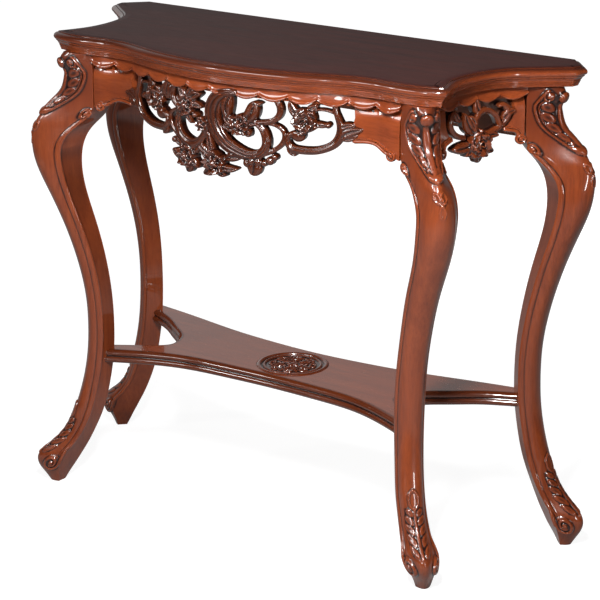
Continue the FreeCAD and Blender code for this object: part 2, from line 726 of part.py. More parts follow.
def upright_prism(points, bottom, top):
    lift = Vector(0, 0, bottom)
    return polygon_face([point + lift for point in points]).extrude(Vector(0, 0, top - bottom))


def corner_block(corner):
    start, ((run_a, normal_a, gap_a), (run_b, normal_b, gap_b)) = corner_runs[corner]
    side_a = start + normal_a * (gap_a + block_lap)
    side_b = start + normal_b * (gap_b + block_lap)
    far_a = side_a + run_a * block_reach
    far_b = side_b + run_b * block_reach
    points = [far_a, side_a, side_b, far_b, far_b - normal_b * block_width, far_a - normal_a * block_width]
    return upright_prism(points, leg_height - block_height, leg_height)


def rod(start, along, length, radius):
    return Part.makeCylinder(radius, length, start, along)


def screw(seat, along, length, clearance):
    """Pan-head screw from its seat; with a clearance it is the hole that takes it."""
    head_length = overrun / 4 if clearance else screw_head_height
    head_radius = screw_bore_radius if clearance else screw_head_radius
    shank = rod(seat, along, length + clearance, screw_radius + clearance)
    return shank.fuse(rod(seat, along * -1, head_length, head_radius))


def block_screws(corner, clearance):
    start, runs = corner_runs[corner]
    level = Vector(0, 0, leg_height - block_height / 2)
    screws = []
    for run, normal, gap in runs:
        seat = start + run * screw_spread + normal * (gap - screw_seat) + level
        screws.append(screw(seat, normal, screw_seat + screw_bite, clearance))
    return screws


def top_screw(corner, clearance):
    start, ((run_a, normal_a, gap_a), (run_b, normal_b, gap_b)) = corner_runs[corner]
    place = start + (run_a + run_b) * top_screw_offset
    seat = place + Vector(0, 0, leg_height - top_screw_seat)
    return screw(seat, Vector(0, 0, 1), top_screw_seat + frame_thickness + top_screw_bite, clearance)


def joint_rods(clearance):
    """Dowels of the right-hand rail joints, by leg and rail."""
    joints = [
        ("front_right", "apron_front", front_joint, front_inner, inward, apron_thickness),
        ("front_right", "apron_right", front_side_joint, front_inner, back_normal, side_apron_thickness),
        ("back_right", "apron_right", back_side_joint, back_inner, -side_end, side_apron_thickness),
        ("back_right", "apron_back", back_joint, back_inner, inward, apron_thickness)]
    rods = []
    for leg, rail, arris, inner, along, thickness in joints:
        face = unit(inner - arris)
        across = thickness / 2 / abs(face.cross(along).z)
        middle = arris + face * across
        for drop in (dowel_high, dowel_low):
            start = middle - along * (dowel_length / 2 + clearance) + Vector(0, 0, leg_height - drop)
            length = dowel_length + 2 * clearance
            rods.append((leg, rail, rod(start, along, length, dowel_radius + clearance)))
    return rods


def shelf_rod(corner, clearance):
    level = shelf_height - shelf_thickness / 2
    along = leg_frames[corner].Rotation.multVec(Vector(1, 0, 0))
    corner_point = leg_inner_corner(corner, level, leg_drifts[corner])
    start = corner_point - along * (dowel_length / 2 + clearance) + Vector(0, 0, level)
    return rod(start, along, dowel_length + 2 * clearance, dowel_radius + clearance)


# Shelf

def make_shelf(legs):
    level = shelf_height - shelf_thickness
    straight = [0] * len(knee_shares)
    front_corner = leg_inner_corner("front_right", level, straight)
    back_corner = leg_inner_corner("back_right", level, straight)

    def place(x_share, y_share):
        run = back_corner.y - front_corner.y
        return Vector(back_corner.x * x_share, front_corner.y + run * y_share, 0)

    front_half = [place(*share) for share in shelf_front_shares]
    side = [place(*share) for share in shelf_side_shares]
    back_half = [place(*share) for share in shelf_back_shares]
    front = mirrored(front_half[1:]) + front_half
    back = back_half + mirrored(back_half[:-1])
    right = [([front[-1], side[0]], 0), (side, 1), ([side[-1], back[0]], 0)]
    left = [(mirrored(points), factor) for points, factor in reversed(right)]
    outline = [(front, 1)] + right + [(back, 0)] + left
    posts = fused(list(legs.values()))
    slab = moulded_slab(outline, shelf_overhang, shelf_thickness, shelf_height, shelf_edge_shares)
    core = outline_prism(outline, -shelf_lip, level, shelf_height)
    ring = slab.cut(core)
    rims = sorted((largest(rim.cut(posts)) for rim in ring.Solids), key=lambda rim: rim.CenterOfMass.x)
    parts["shelf_edge_front"], parts["shelf_edge_right"] = rims[1:]
    pocket_floor = Vector(0, back_line - medallion_from_back, shelf_height - medallion_thickness)
    pocket = Part.makeCylinder(medallion_radius + fit_clearance, medallion_thickness, pocket_floor)
    parts["shelf_panel"] = largest(slab.common(core).cut(posts)).cut(pocket)


def make_medallion():
    """Turned disc with two rings, a wreath of leaves and a small flower."""
    bottom = -medallion_thickness
    base = Vector(0, 0, bottom)
    shapes = [Part.makeCylinder(medallion_radius, medallion_thickness, base)]
    ring_height = medallion_thickness + medallion_relief
    for outer_share, inner_share in medallion_ring_shares:
        ring = Part.makeCylinder(medallion_radius * outer_share, ring_height, base)
        shapes.append(ring.cut(Part.makeCylinder(medallion_radius * inner_share, ring_height, base)))
    root_share, tip_share, width_share = medallion_leaf_shares
    for index in range(medallion_leaves):
        leaf = leaf_face(medallion_radius * root_share, 0, medallion_radius * tip_share, 0, width_share)
        leaf.rotate(Vector(0, 0, 0), Vector(1, 0, 0), -90)
        leaf.rotate(Vector(0, 0, 0), Vector(0, 0, 1), 360 * index / medallion_leaves)
        leaf.translate(Vector(0, 0, bottom / 2))
        shapes.append(leaf.extrude(Vector(0, 0, medallion_relief - bottom / 2)))
    petal_radius = medallion_radius * medallion_petal_share
    for index in range(medallion_petals):
        angle = 2 * math.pi * (index + 1 / 2) / medallion_petals
        place = Vector(math.cos(angle), math.sin(angle), 0) * petal_radius
        place.z = bottom / 2
        petal_height = medallion_flower_relief - bottom / 2
        shapes.append(Part.makeCylinder(petal_radius, petal_height, place))
    medallion = fused(shapes)
    medallion.translate(Vector(0, back_line - medallion_from_back, shelf_height))
    parts["shelf_medallion"] = medallion


# Assembly

def bore(node, holes):
    parts[node] = largest(parts[node].cut(holes))


def make_all():
    legs = {}
    for corner, frame in leg_frames.items():
        leg = leg_blank(leg_drifts[corner])
        leg.Placement = frame
        legs[corner] = leg
        legs[corner.replace("right", "left")] = mirror_x(leg)
    make_top()
    make_frame()
    make_rails(legs)
    make_shelf(legs)
    make_medallion()
    rods = joint_rods(0)
    screws = []
    top_screws = []
    holes = {}
    for leg, rail, hole in joint_rods(fit_clearance):
        holes.setdefault("leg_" + leg, []).append(hole)
        holes.setdefault(rail, []).append(hole)
    for corner in leg_frames:
        leg = "leg_" + corner
        parts[leg] = legs[corner]
        rail = "apron_front" if corner == "front_right" else "apron_back"
        block = corner_block(corner).cut(legs[corner]).cut(parts[rail]).cut(parts["apron_right"])
        block_holes = block_screws(corner, fit_clearance)
        top_hole = top_screw(corner, fit_clearance)
        block_node = "corner_block_" + corner
        parts[block_node] = largest(block)
        bore(block_node, block_holes + [top_hole])
        holes.setdefault(rail, []).append(block_holes[0])
        holes.setdefault("apron_right", []).append(block_holes[1])
        holes.setdefault("top_frame_right", []).append(top_hole)
        holes.setdefault("top_panel", []).append(top_hole)
        shelf_hole = shelf_rod(corner, fit_clearance)
        holes[leg].append(shelf_hole)
        for node in ("shelf_panel", "shelf_edge_right"):
            holes.setdefault(node, []).append(shelf_hole)
        screws += block_screws(corner, 0)
        top_screws.append(top_screw(corner, 0))
    for node in ("apron_front", "apron_back", "shelf_panel", "top_panel"):
        holes[node] += [mirror_x(hole) for hole in holes[node]]
    for node, shapes in holes.items():
        bore(node, shapes)
    for node in list(parts):
        if node.endswith("_right"):
            parts[node.replace("right", "left")] = mirror_x(parts[node])
    groups = {"corner_block_screws": screws, "top_screws": top_screws,
              "apron_dowels": [shape for leg, rail, shape in rods],
              "shelf_dowels": [shelf_rod(corner, 0) for corner in leg_frames]}
    for node, shapes in groups.items():
        parts[node] = Part.makeCompound(both_sides(shapes))


make_all()
os.makedirs("parts", exist_ok=True)
for node, shape in parts.items():
    shape.exportStep("parts/" + node + ".step")
    print(node, len(shape.Solids), shape.isValid(), round(shape.Volume / 1000, 1))
box = Part.makeCompound(list(parts.values())).BoundBox
print("box", box.XMin, box.XMax, box.YMin, box.YMax, box.ZMin, box.ZMax)
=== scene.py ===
import math

import bmesh
import bpy
import numpy as np
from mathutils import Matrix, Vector


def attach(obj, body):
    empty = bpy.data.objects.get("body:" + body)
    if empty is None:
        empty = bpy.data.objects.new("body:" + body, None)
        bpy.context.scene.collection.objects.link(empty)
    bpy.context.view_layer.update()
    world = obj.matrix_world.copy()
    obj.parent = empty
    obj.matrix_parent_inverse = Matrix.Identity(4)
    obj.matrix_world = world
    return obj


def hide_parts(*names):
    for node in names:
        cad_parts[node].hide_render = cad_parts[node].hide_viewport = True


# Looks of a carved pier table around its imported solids.
# Lengths are in millimetres until a mesh is made, in the frame of the solids.

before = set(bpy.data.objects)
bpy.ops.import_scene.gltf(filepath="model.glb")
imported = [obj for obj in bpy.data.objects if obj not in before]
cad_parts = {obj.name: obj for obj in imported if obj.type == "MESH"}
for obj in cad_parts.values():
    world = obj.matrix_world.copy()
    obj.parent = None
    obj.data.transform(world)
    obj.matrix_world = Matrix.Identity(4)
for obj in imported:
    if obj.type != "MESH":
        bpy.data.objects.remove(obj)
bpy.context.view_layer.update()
MM = 0.001


# Curves

def interpolate(knots, values, at):
    """Natural cubic curve through values at knots, read at other places."""
    knots = np.asarray(knots, float)
    values = np.asarray(values, float)
    at = np.asarray(at, float)
    count = len(knots)
    step = np.diff(knots)
    system = np.eye(count)
    pull = np.zeros_like(values)
    for i in range(1, count - 1):
        system[i, i - 1:i + 2] = step[i - 1], 2 * (step[i - 1] + step[i]), step[i]
        pull[i] = 6 * ((values[i + 1] - values[i]) / step[i] - (values[i] - values[i - 1]) / step[i - 1])
    bend = np.linalg.solve(system, pull)
    k = np.clip(np.searchsorted(knots, at, side="right") - 1, 0, count - 2)
    shape = (-1,) + (1,) * (values.ndim - 1)
    left = (knots[k + 1] - at).reshape(shape)
    right = (at - knots[k]).reshape(shape)
    gap = step[k].reshape(shape)
    return ((bend[k] * left ** 3 + bend[k + 1] * right ** 3) / (6 * gap)
            + (values[k] / gap - bend[k] * gap / 6) * left
            + (values[k + 1] / gap - bend[k + 1] * gap / 6) * right)


def run_along(points):
    """Distance of each point from the first, along the line through them."""
    return np.concatenate([[0], np.cumsum(np.linalg.norm(np.diff(points, axis=0), axis=1))])


def spline(points, count):
    """Evenly spaced points on a smooth curve, whose length is measured in the first two columns."""
    points = np.asarray(points, float)
    knots = run_along(points[:, :2])
    return interpolate(knots, points, np.linspace(0, knots[-1], count))


def mirrored(points):
    """The same outline on the other side, in the other direction."""
    points = np.array(points, float)[::-1]
    points[:, 0] *= -1
    return points


def both_halves(half_line, count):
    """Evenly spaced points on a line whose left half mirrors its right half."""
    return spline(np.concatenate([mirrored(half_line[1:]), half_line]), count)


def unit(vectors):
    return vectors / np.linalg.norm(vectors, axis=-1, keepdims=True)


def unit_normals(points):
    along = unit(np.gradient(points, axis=0))
    return np.stack([along[:, 1], -along[:, 0]], axis=1)


def at_height(line, height):
    return np.column_stack([line, np.full(len(line), height)])


def fade(values, start, end):
    """Share that goes from 0 at start to 1 at end."""
    return np.clip((values - start) / (end - start), 0, 1)


def bell(values, middle, width):
    return np.exp(-((values - middle) / width) ** 2)


def rounded(share, power=2):
    """Height of a rounded form, from 1 in its middle to 0 at its rim."""
    return np.sqrt(np.clip(1 - share ** power, 0, 1))


def rib(values, middle, half, height):
    """Rounded rib of some half width round a middle value."""
    return height * rounded((values - middle) / half)


# Meshes

OUTWARD = Vector((0, 1, 0))
LEAST_RADIUS = 0.05
VOXEL = 0.95
SKIN_ROUNDS = 3
LEVEL = 0.99

# Painted shade: points of a carving darken between these two distances out of its face, most behind it
WALL_FROM = 3.0
WALL_TO = -6.0


def grid_faces(rows, columns):
    """Quads of a grid whose last column joins its first."""
    start = np.arange(rows - 1)[:, None] * columns
    here = start + np.arange(columns)
    beside = start + (np.arange(columns) + 1) % columns
    quads = np.stack([here, beside, beside + columns, here + columns], axis=-1)
    return [tuple(quad) for quad in quads.reshape(-1, 4).tolist()]


def tube(sections):
    """Closed shell through rows of section points."""
    sections = np.asarray(sections, float)
    rows, columns = sections.shape[:2]
    faces = grid_faces(rows, columns)
    faces.append(tuple(range(columns)))
    faces.append(tuple(range((rows - 1) * columns, rows * columns)))
    return sections.reshape(-1, 3), faces


def lathe(profile, centre=(0, 0, 0), steps=32):
    """Closed shell turned round the outward axis, from rows of radius and height along it."""
    side = OUTWARD.orthogonal().normalized()
    other = OUTWARD.cross(side)
    angles = np.linspace(0, 2 * math.pi, steps, endpoint=False)
    ring = np.outer(np.cos(angles), side) + np.outer(np.sin(angles), other)
    return tube([np.array(centre) + ring * max(radius, LEAST_RADIUS) + np.array(OUTWARD) * along
                 for radius, along in profile])


def mirror_all(shells):
    return [(points * np.array([-1, 1, 1]), faces) for points, faces in shells]


def both_sides(shells):
    return shells + mirror_all(shells)


def new_object(name, data):
    thing = bpy.data.objects.new(name, data)
    bpy.context.scene.collection.objects.link(thing)
    return thing


def build_mesh(name, shells):
    points = np.concatenate([points for points, faces in shells]) * MM
    faces = []
    start = 0
    for shell_points, shell_faces in shells:
        faces += [tuple(start + corner for corner in face) for face in shell_faces]
        start += len(shell_points)
    mesh = bpy.data.meshes.new(name)
    mesh.from_pydata(points.tolist(), [], faces)
    work = bmesh.new()
    work.from_mesh(mesh)
    bmesh.ops.recalc_face_normals(work, faces=work.faces)
    work.to_mesh(mesh)
    work.free()
    return mesh


def one_skin(mesh):
    """Merge overlapping shells into one smooth closed skin."""
    piece = new_object(mesh.name, mesh)
    remesh = piece.modifiers.new("skin", "REMESH")
    remesh.mode = "VOXEL"
    remesh.voxel_size = VOXEL * MM
    soften = piece.modifiers.new("soften", "SMOOTH")
    soften.iterations = SKIN_ROUNDS
    bpy.context.view_layer.update()
    finished = piece.evaluated_get(bpy.context.evaluated_depsgraph_get())
    result = bpy.data.meshes.new_from_object(finished)
    bpy.data.objects.remove(piece)
    result.name = mesh.name
    return result


def read(items, field, width, kind=float):
    """Values of a field of mesh items, one row each."""
    values = np.empty(len(items) * width, kind)
    items.foreach_get(field, values)
    return values.reshape(-1, width)


def mark_hollows(mesh, rounds, depth, plan, stain):
    """Store how far each point lies below its smoothed surroundings, from 0 on a ridge to 1: the amount of
    painted shade in hollows.

    With the plan of a face, points behind the face count as hollow too, as painted shade deep in a carving;
    extra painted shade is added."""
    count = len(mesh.vertices)
    places = read(mesh.vertices, "co", 3)
    normals = read(mesh.vertex_normals, "vector", 3)
    edges = read(mesh.edges, "vertices", 2, np.int64)
    first, second = edges.T
    degree = np.bincount(edges.ravel(), minlength=count).reshape(-1, 1)
    smooth = places.copy()
    for _ in range(rounds):
        total = np.stack([np.bincount(first, column[second], count)
                          + np.bincount(second, column[first], count)
                          for column in smooth.T], axis=1)
        smooth = (smooth + total / degree) / 2
    hollow = ((smooth - places) * normals).sum(axis=1) / (depth * MM)
    hollow = hollow / 2 + 0.5 + stain
    if plan:
        hollow += fade(out_of_face(places / MM, plan), WALL_FROM, WALL_TO) / 2
    attribute = mesh.attributes.new("hollow", "FLOAT", "POINT")
    attribute.data.foreach_set("value", np.clip(hollow, 0, 1))


def bow_at(plan, along):
    """How far a face curves out at places along it."""
    return interpolate(*plan["bow"].T, np.clip(along, 0, plan["span"]))


def out_of_face(points, plan):
    """How far points of the table stand out from a curved face, on either side of the table."""
    flat = points[:, :2] * [plan["side"], 1] - plan["start"]
    return flat @ plan["out"] - bow_at(plan, flat @ plan["along"])


def add_piece(node, mesh, material, ending="carved", sharp=40, rounds=12, depth=0.5, flat_top=None,
              plan=None, stain=0):
    """Put a finished mesh in the place of its node; flat_top finishes the faces that look up."""
    mesh.polygons.foreach_set("use_smooth", [True] * len(mesh.polygons))
    mesh.set_sharp_from_angle(angle=math.radians(sharp))
    mark_hollows(mesh, rounds, depth, plan, stain)
    mesh.materials.append(material)
    if flat_top:
        mesh.materials.append(flat_top)
        for face in mesh.polygons:
            face.material_index = int(face.normal.z > LEVEL)
    piece = new_object(node + "_" + ending, mesh)
    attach(piece, "root")
    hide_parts(node)


def add_shells(node, shells, material, **options):
    add_piece(node, build_mesh(node, shells), material, **options)


def add_pair(name, shells, material, **options):
    """A right-hand piece and its mirror image on the left."""
    add_shells(name + "_right", shells, material, **options)
    add_shells(name + "_left", mirror_all(shells), material, **options)


def add_carving(node, shells, material, plan):
    """Pierced carving, merged into one skin."""
    add_piece(node, one_skin(build_mesh(node, shells)), material, sharp=80, rounds=32, depth=0.9, plan=plan)


# Materials

def nodes_of(name):
    material = bpy.data.materials.new(name)
    material.use_nodes = True
    tree = material.node_tree
    return material, tree, tree.nodes["Principled BSDF"]


def set_inputs(tree, node, values):
    """Link each input to a socket, or set it to a plain value."""
    for key, value in values.items():
        if isinstance(value, bpy.types.NodeSocket):
            tree.links.new(value, node.inputs[key])
        else:
            node.inputs[key].default_value = value


def add_node(tree, kind, inputs=None, **settings):
    node = tree.nodes.new("ShaderNode" + kind)
    for key, value in settings.items():
        setattr(node, key, value)
    set_inputs(tree, node, inputs or {})
    return node


def noise(tree, vector, scale, detail, roughness=0.5, distortion=0.0):
    node = add_node(tree, "TexNoise", {"Vector": vector, "Scale": scale, "Detail": detail,
                                       "Roughness": roughness, "Distortion": distortion})
    return node.outputs["Fac"]


def ramp(tree, factor, stops):
    """Colour ramp from stops of a place and a colour or a grey."""
    node = add_node(tree, "ValToRGB", {"Fac": factor})
    elements = node.color_ramp.elements
    while len(elements) < len(stops):
        elements.new(0.5)
    for element, (place, colour) in zip(elements, stops):
        element.position = place
        element.color = (*colour, 1) if isinstance(colour, tuple) else (colour, colour, colour, 1)
    return node.outputs["Color"]


def blended(tree, amount, first, second, kind="MIX"):
    """Colour between two colours, each a socket or a plain colour."""
    mix = add_node(tree, "Mix", {0: amount, 6: first, 7: second}, data_type="RGBA", blend_type=kind)
    return mix.outputs[2]


def wood(name, colours, stretch, polish, hollow_shade=None, dark_above=None):
    """Lacquered wood: grain along the stretched axis, painted shade in hollows, lighter ridges."""
    material, tree, shader = nodes_of(name)
    roughness, coat, specular = polish
    place = add_node(tree, "TexCoord").outputs["Object"]
    along = add_node(tree, "Mapping", {"Vector": place, "Scale": stretch}).outputs["Vector"]
    figure = noise(tree, along, 2.2, 5.0, roughness=0.6, distortion=0.6)
    pores = noise(tree, along, 14.0, 4.0, roughness=0.7)
    dark, mid, light = colours
    base = ramp(tree, figure, [(0.3, dark), (0.5, mid), (0.72, light)])
    streaks = ramp(tree, pores, [(0.36, 0.8), (0.55, 1.0)])
    out = blended(tree, 1.0, base, streaks, "MULTIPLY")
    if dark_above:
        high = add_node(tree, "SeparateXYZ", {"Vector": place}).outputs["Z"]
        low, full, colour = dark_above
        amount = add_node(tree, "MapRange", {"Value": high, "From Min": low, "From Max": full})
        out = blended(tree, amount.outputs["Result"], out, (*colour, 1))
    # Painted shade: the hollow measure darkens hollows towards the shade colour and makes ridges lighter
    if hollow_shade:
        hollow = add_node(tree, "Attribute", attribute_name="hollow").outputs["Fac"]
        lighter_ridges = ramp(tree, hollow, [(0.1, 0.3), (0.42, 0.0)])
        out = blended(tree, lighter_ridges, out, (*light, 1))
        sunk = ramp(tree, hollow, [(0.52, 0.0), (0.76, 1.0)])
        out = blended(tree, sunk, out, (*hollow_shade, 1))
    gloss = ramp(tree, pores, [(0.3, roughness + 0.08), (0.7, roughness)])
    bump = add_node(tree, "Bump", {"Height": pores, "Strength": 0.12, "Distance": 0.0004})
    set_inputs(tree, shader, {"Base Color": out, "Roughness": gloss, "Normal": bump.outputs["Normal"],
                              "Specular IOR Level": specular, "Coat Weight": coat, "Coat Roughness": 0.04})
    return material


def steel(name):
    material, tree, shader = nodes_of(name)
    place = add_node(tree, "TexCoord").outputs["Object"]
    grain = noise(tree, place, 900.0, 3.0)
    colour = ramp(tree, grain, [(0.3, (0.42, 0.42, 0.43)), (0.7, (0.6, 0.6, 0.62))])
    gloss = ramp(tree, grain, [(0.3, 0.28), (0.7, 0.42)])
    set_inputs(tree, shader, {"Base Color": colour, "Roughness": gloss, "Metallic": 1.0})
    return material


# Dark, middle and light colours of the figure
MAHOGANY = ((0.14, 0.025, 0.0065), (0.175, 0.033, 0.0085), (0.22, 0.044, 0.0115))
BLACKENED = ((0.02, 0.003, 0.0018), (0.032, 0.0046, 0.0028), (0.045, 0.007, 0.0042))
STAINED = ((0.1, 0.03, 0.013), (0.15, 0.045, 0.02), (0.2, 0.065, 0.03))
# Colour of the painted shade in hollows
HOLLOW_SHADE = (0.012, 0.003, 0.002)
NOSE_BROWN = (0.055, 0.011, 0.004)

# Stretch of the figure on each axis, lowest along the grain
UPRIGHT = (26, 26, 2.2)
ALONG_FRONT = (2.2, 26, 26)
ALONG_SIDE = (26, 2.2, 26)
ALONG_SHELF = (2.0, 30, 30)
ALONG_TOP = (1.6, 30, 30)
ALONG_INNER = (3, 30, 30)

# Roughness, coat and specular level
LEG_POLISH = (0.28, 0.9, 0.28)
BACK_LEG_POLISH = (0.28, 0.9, 0.12)
RAIL_POLISH = (0.18, 0.8, 0.3)
CARVING_POLISH = (0.18, 1.0, 0.3)
SHELF_POLISH = (0.2, 1.0, 0.5)
TOP_POLISH = (0.36, 0.0, 0.1)
UNPOLISHED = (0.5, 0.0, 0.5)

# Heights in metres where a darker colour starts and where it is full, and its colour
# On the posts: a painted shadow of the top's overhang, as a flat darker colour
FRONT_POST_SHADOW = (0.69, 0.75, (0.115, 0.021, 0.006))
BACK_POST_SHADOW = (0.69, 0.75, (0.1, 0.018, 0.005))
# On the nose: the blackened top's colour carried over its upper slope, with painted shade taking it lower on
# the front than on the sides
DARK_NOSE = (0.838, 0.844, NOSE_BROWN)
DARK_SIDE_NOSE = (0.842, 0.847, NOSE_BROWN)


def shaded_mahogany(share):
    """The wood colours darkened to a share of their light: a painted-shade copy of the mahogany."""
    return tuple(tuple(share * value for value in colour) for colour in MAHOGANY)


# The back legs take a painted-shade copy of the wood, darker than the front legs
leg_woods = {
    "front": wood("mahogany_front_legs", MAHOGANY, UPRIGHT, LEG_POLISH, HOLLOW_SHADE, FRONT_POST_SHADOW),
    "back": wood("mahogany_back_legs", shaded_mahogany(0.86), UPRIGHT, BACK_LEG_POLISH, HOLLOW_SHADE, BACK_POST_SHADOW)}
front_wood = wood("mahogany_front", MAHOGANY, ALONG_FRONT, RAIL_POLISH, HOLLOW_SHADE)
side_wood = wood("mahogany_side", MAHOGANY, ALONG_SIDE, RAIL_POLISH, HOLLOW_SHADE)
front_edge_wood = wood("mahogany_front_edge", MAHOGANY, ALONG_FRONT, RAIL_POLISH, dark_above=DARK_NOSE)
side_edge_wood = wood("mahogany_side_edge", MAHOGANY, ALONG_SIDE, RAIL_POLISH, dark_above=DARK_SIDE_NOSE)
# Carvings, shelf edges and medallion take painted-shade copies of the mahogany, each darkened to its own
# share
front_carving_wood = wood("mahogany_front_carving", shaded_mahogany(0.32), ALONG_FRONT, CARVING_POLISH, HOLLOW_SHADE)
side_carving_wood = wood("mahogany_side_carving", shaded_mahogany(0.6), ALONG_SIDE, CARVING_POLISH, HOLLOW_SHADE)
shelf_wood = wood("mahogany_shelf", MAHOGANY, ALONG_SHELF, SHELF_POLISH)
shelf_edge_wood = wood("mahogany_shelf_edge", shaded_mahogany(0.42), ALONG_SHELF, RAIL_POLISH, HOLLOW_SHADE)
medallion_wood = wood("mahogany_medallion", shaded_mahogany(0.5), ALONG_SHELF, SHELF_POLISH, HOLLOW_SHADE)
top_wood = wood("dark_top", BLACKENED, ALONG_TOP, TOP_POLISH)
inner_wood = wood("stained_inner", STAINED, ALONG_INNER, UNPOLISHED)
metal = steel("zinc_steel")

# Edge mouldings of the top, its frame and the shelf

TOP = 850.0
TOP_UNDERSIDE = 828.0
LEG_TOP = 816.0
BACK = 197.0
SHELF = 260.0
SHELF_UNDERSIDE = 236.0

top_front = [
    (0, -186), (100, -176.0), (180, -155), (250, -133.9), (290, -132), (330, -136.2), (370, -135.1),
    (408, -123.2)]
top_side = [
    (408, -123.2), (388, -66.1), (386, -25.9), (393, 18.9), (412, 64.1), (450, 100.9), (497, 141.1)]
top_ear = [(497, 141.1), (500, 157.2), (465, 197)]


def corner_shift(first, second, reach=(1, 1)):
    """Move of a corner whose two sides each move out by their reach."""
    return np.linalg.solve(np.array([first, second]), np.array(reach, float))


def chained(stretches):
    """Points and unit moves along stretches that meet at mitred corners."""
    facing = [unit_normals(points) for points in stretches]
    places = [stretches[0]]
    moves = [facing[0]]
    for points, normals in zip(stretches[1:], facing[1:]):
        moves[-1][-1] = corner_shift(moves[-1][-1], normals[0])
        places.append(points[1:])
        moves.append(normals[1:])
    return np.concatenate(places), np.concatenate(moves)


def swept(places, moves, profile, inner=()):
    """Moulding along a line: a profile of out and height rows, then lines of inner points, if any."""
    sections = [at_height(places + moves * out, height) for out, height in profile]
    sections = np.stack(sections + list(inner), axis=1)
    sections[..., 1] = np.minimum(sections[..., 1], BACK)
    return tube(sections)


CORNER_STEPS = 4


def rounded_end(moves, end):
    """Turn the last moves of a stretch evenly to its end move, so that its corner is round."""
    turned = moves.copy()
    for step, share in enumerate(np.linspace(1, 0, CORNER_STEPS, endpoint=False)):
        turned[-1 - step] = unit(moves[-1 - step] * (1 - share) + end * share)
    return turned


front_line = both_halves(top_front, count=401)
ear_lines = [np.linspace(top_ear[0], top_ear[1], 4), np.linspace(top_ear[1], top_ear[2], 8)]
front_moves = unit_normals(front_line)
side_places, side_moves = chained([spline(top_side, count=141)] + ear_lines)
mitre = unit(front_moves[-1] + side_moves[0])
front_moves = rounded_end(front_moves, mitre)
front_moves = rounded_end(front_moves[::-1], mitre * [-1, 1])[::-1]
side_moves = rounded_end(side_moves[::-1], mitre)[::-1]
side_moves[-1] = corner_shift(side_moves[-1], (0, 1), (1, 0))

EDGE_WIDTH = 14.0
top_profile = [
    (0.4, 850), (1.1, 849.7), (1.6, 848.9), (2.0, 848.1), (2.9, 847.9), (4.6, 847.7), (6.6, 847.0),
    (8.6, 845.4), (10.3, 843.2), (11, 840.8), (10.5, 838.2), (9.0, 836.3), (7.0, 835.2), (6.6, 834.4),
    (6.6, 833.4), (5.6, 832.6), (4.2, 831.4), (3.0, 829.9), (2.2, 828), (-EDGE_WIDTH, TOP_UNDERSIDE),
    (-EDGE_WIDTH, TOP)]

# Each reed stands back from the one above
REEDS = 5
REED_POINTS = 7
REED_FROM = 826.4
REED_PITCH = 2.0
REED_HIGH = 1.9
REED_OUT = 0.2
REED_SWELL = 0.75
REED_STEP_BACK = 0.85
reeds = [(1.1, TOP_UNDERSIDE), (1.1, 826.6)]
for reed in range(REEDS):
    reeds += [(REED_OUT - reed * REED_STEP_BACK + REED_SWELL * math.sin(math.pi * share),
               REED_FROM - reed * REED_PITCH - REED_HIGH * share)
              for share in np.linspace(0, 1, REED_POINTS)]
reeds.append((-4.2, LEG_TOP))

FRAME_FRONT = -90.0
FRAME_SIDE = 280.0


def frame_inner(line):
    return [at_height(line, height) for height in (LEG_TOP, TOP_UNDERSIDE)]


front_inner_line = np.column_stack([front_line[:, 0] * FRAME_SIDE / front_line[-1, 0],
                                    np.full(len(front_line), FRAME_FRONT)])
down_share = (BACK - side_places[:, 1]) / (BACK - side_places[0, 1])
side_inner_line = np.column_stack([np.full(len(side_places), FRAME_SIDE),
                                   BACK - down_share * (BACK - FRAME_FRONT)])

add_shells("top_edge_front", [swept(front_line, front_moves, top_profile)], front_edge_wood,
           ending="moulded", flat_top=top_wood)
add_pair("top_edge", [swept(side_places, side_moves, top_profile)], side_edge_wood, flat_top=top_wood)
add_shells("top_frame_front", [swept(front_line, front_moves, reeds, frame_inner(front_inner_line))],
           front_wood, ending="reeded")
add_pair("top_frame", [swept(side_places, side_moves, reeds, frame_inner(side_inner_line))], side_wood)

# Plans of the aprons: a face line that curves out from the straight line between its two posts

FOOT = {"front": (413.7, -162.3), "back": (513.1, 140.3)}
TURN = {"front": math.radians(-45), "back": 0.0}
KNEE = 705.0
POST_INNER = -118.0
POST_ARRIS = -85.5
POST_HALF = 31.8


def leg_place(corner, points):
    """Leg points, given as out along its diagonal, across and up, in the frame of the table."""
    points = np.asarray(points, float)
    turn = TURN[corner]
    x = FOOT[corner][0] + points[..., 0] * math.cos(turn) - points[..., 1] * math.sin(turn)
    y = FOOT[corner][1] + points[..., 0] * math.sin(turn) + points[..., 1] * math.cos(turn)
    return np.stack([x, y, points[..., 2]], axis=-1)


front_joint = leg_place("front", (POST_ARRIS, -POST_HALF, 0))
side_joint = leg_place("front", (POST_ARRIS, POST_HALF, 0))
back_side_joint = leg_place("back", (POST_ARRIS, -POST_HALF, 0))
FRONT_HALF = front_joint[0]
side_run = (back_side_joint - side_joint)[:2]
SIDE_SPAN = float(np.linalg.norm(side_run))

front_bow = np.array([(0, 0), (0.031, 0), (0.062, -0.006), (0.122, -0.003), (0.168, 0.009),
                      (0.228, 0.029), (0.349, 0.06), (0.5, 0.0755)]) * 2 * FRONT_HALF
front_bow = np.concatenate([front_bow, mirrored(front_bow - [FRONT_HALF, 0])[1:] + [FRONT_HALF, 0]])
side_bow = np.array([(0, 0), (0.26, -0.081), (0.49, -0.108), (0.78, -0.085), (1, 0)]) * SIDE_SPAN


def face_plan(start, along, bow, span):
    """Plan of a curved face; its side is 1, or -1 for the mirror image."""
    out = np.array([along[1], -along[0]])
    return {"start": start, "along": along, "out": out, "bow": bow, "span": span, "side": 1}


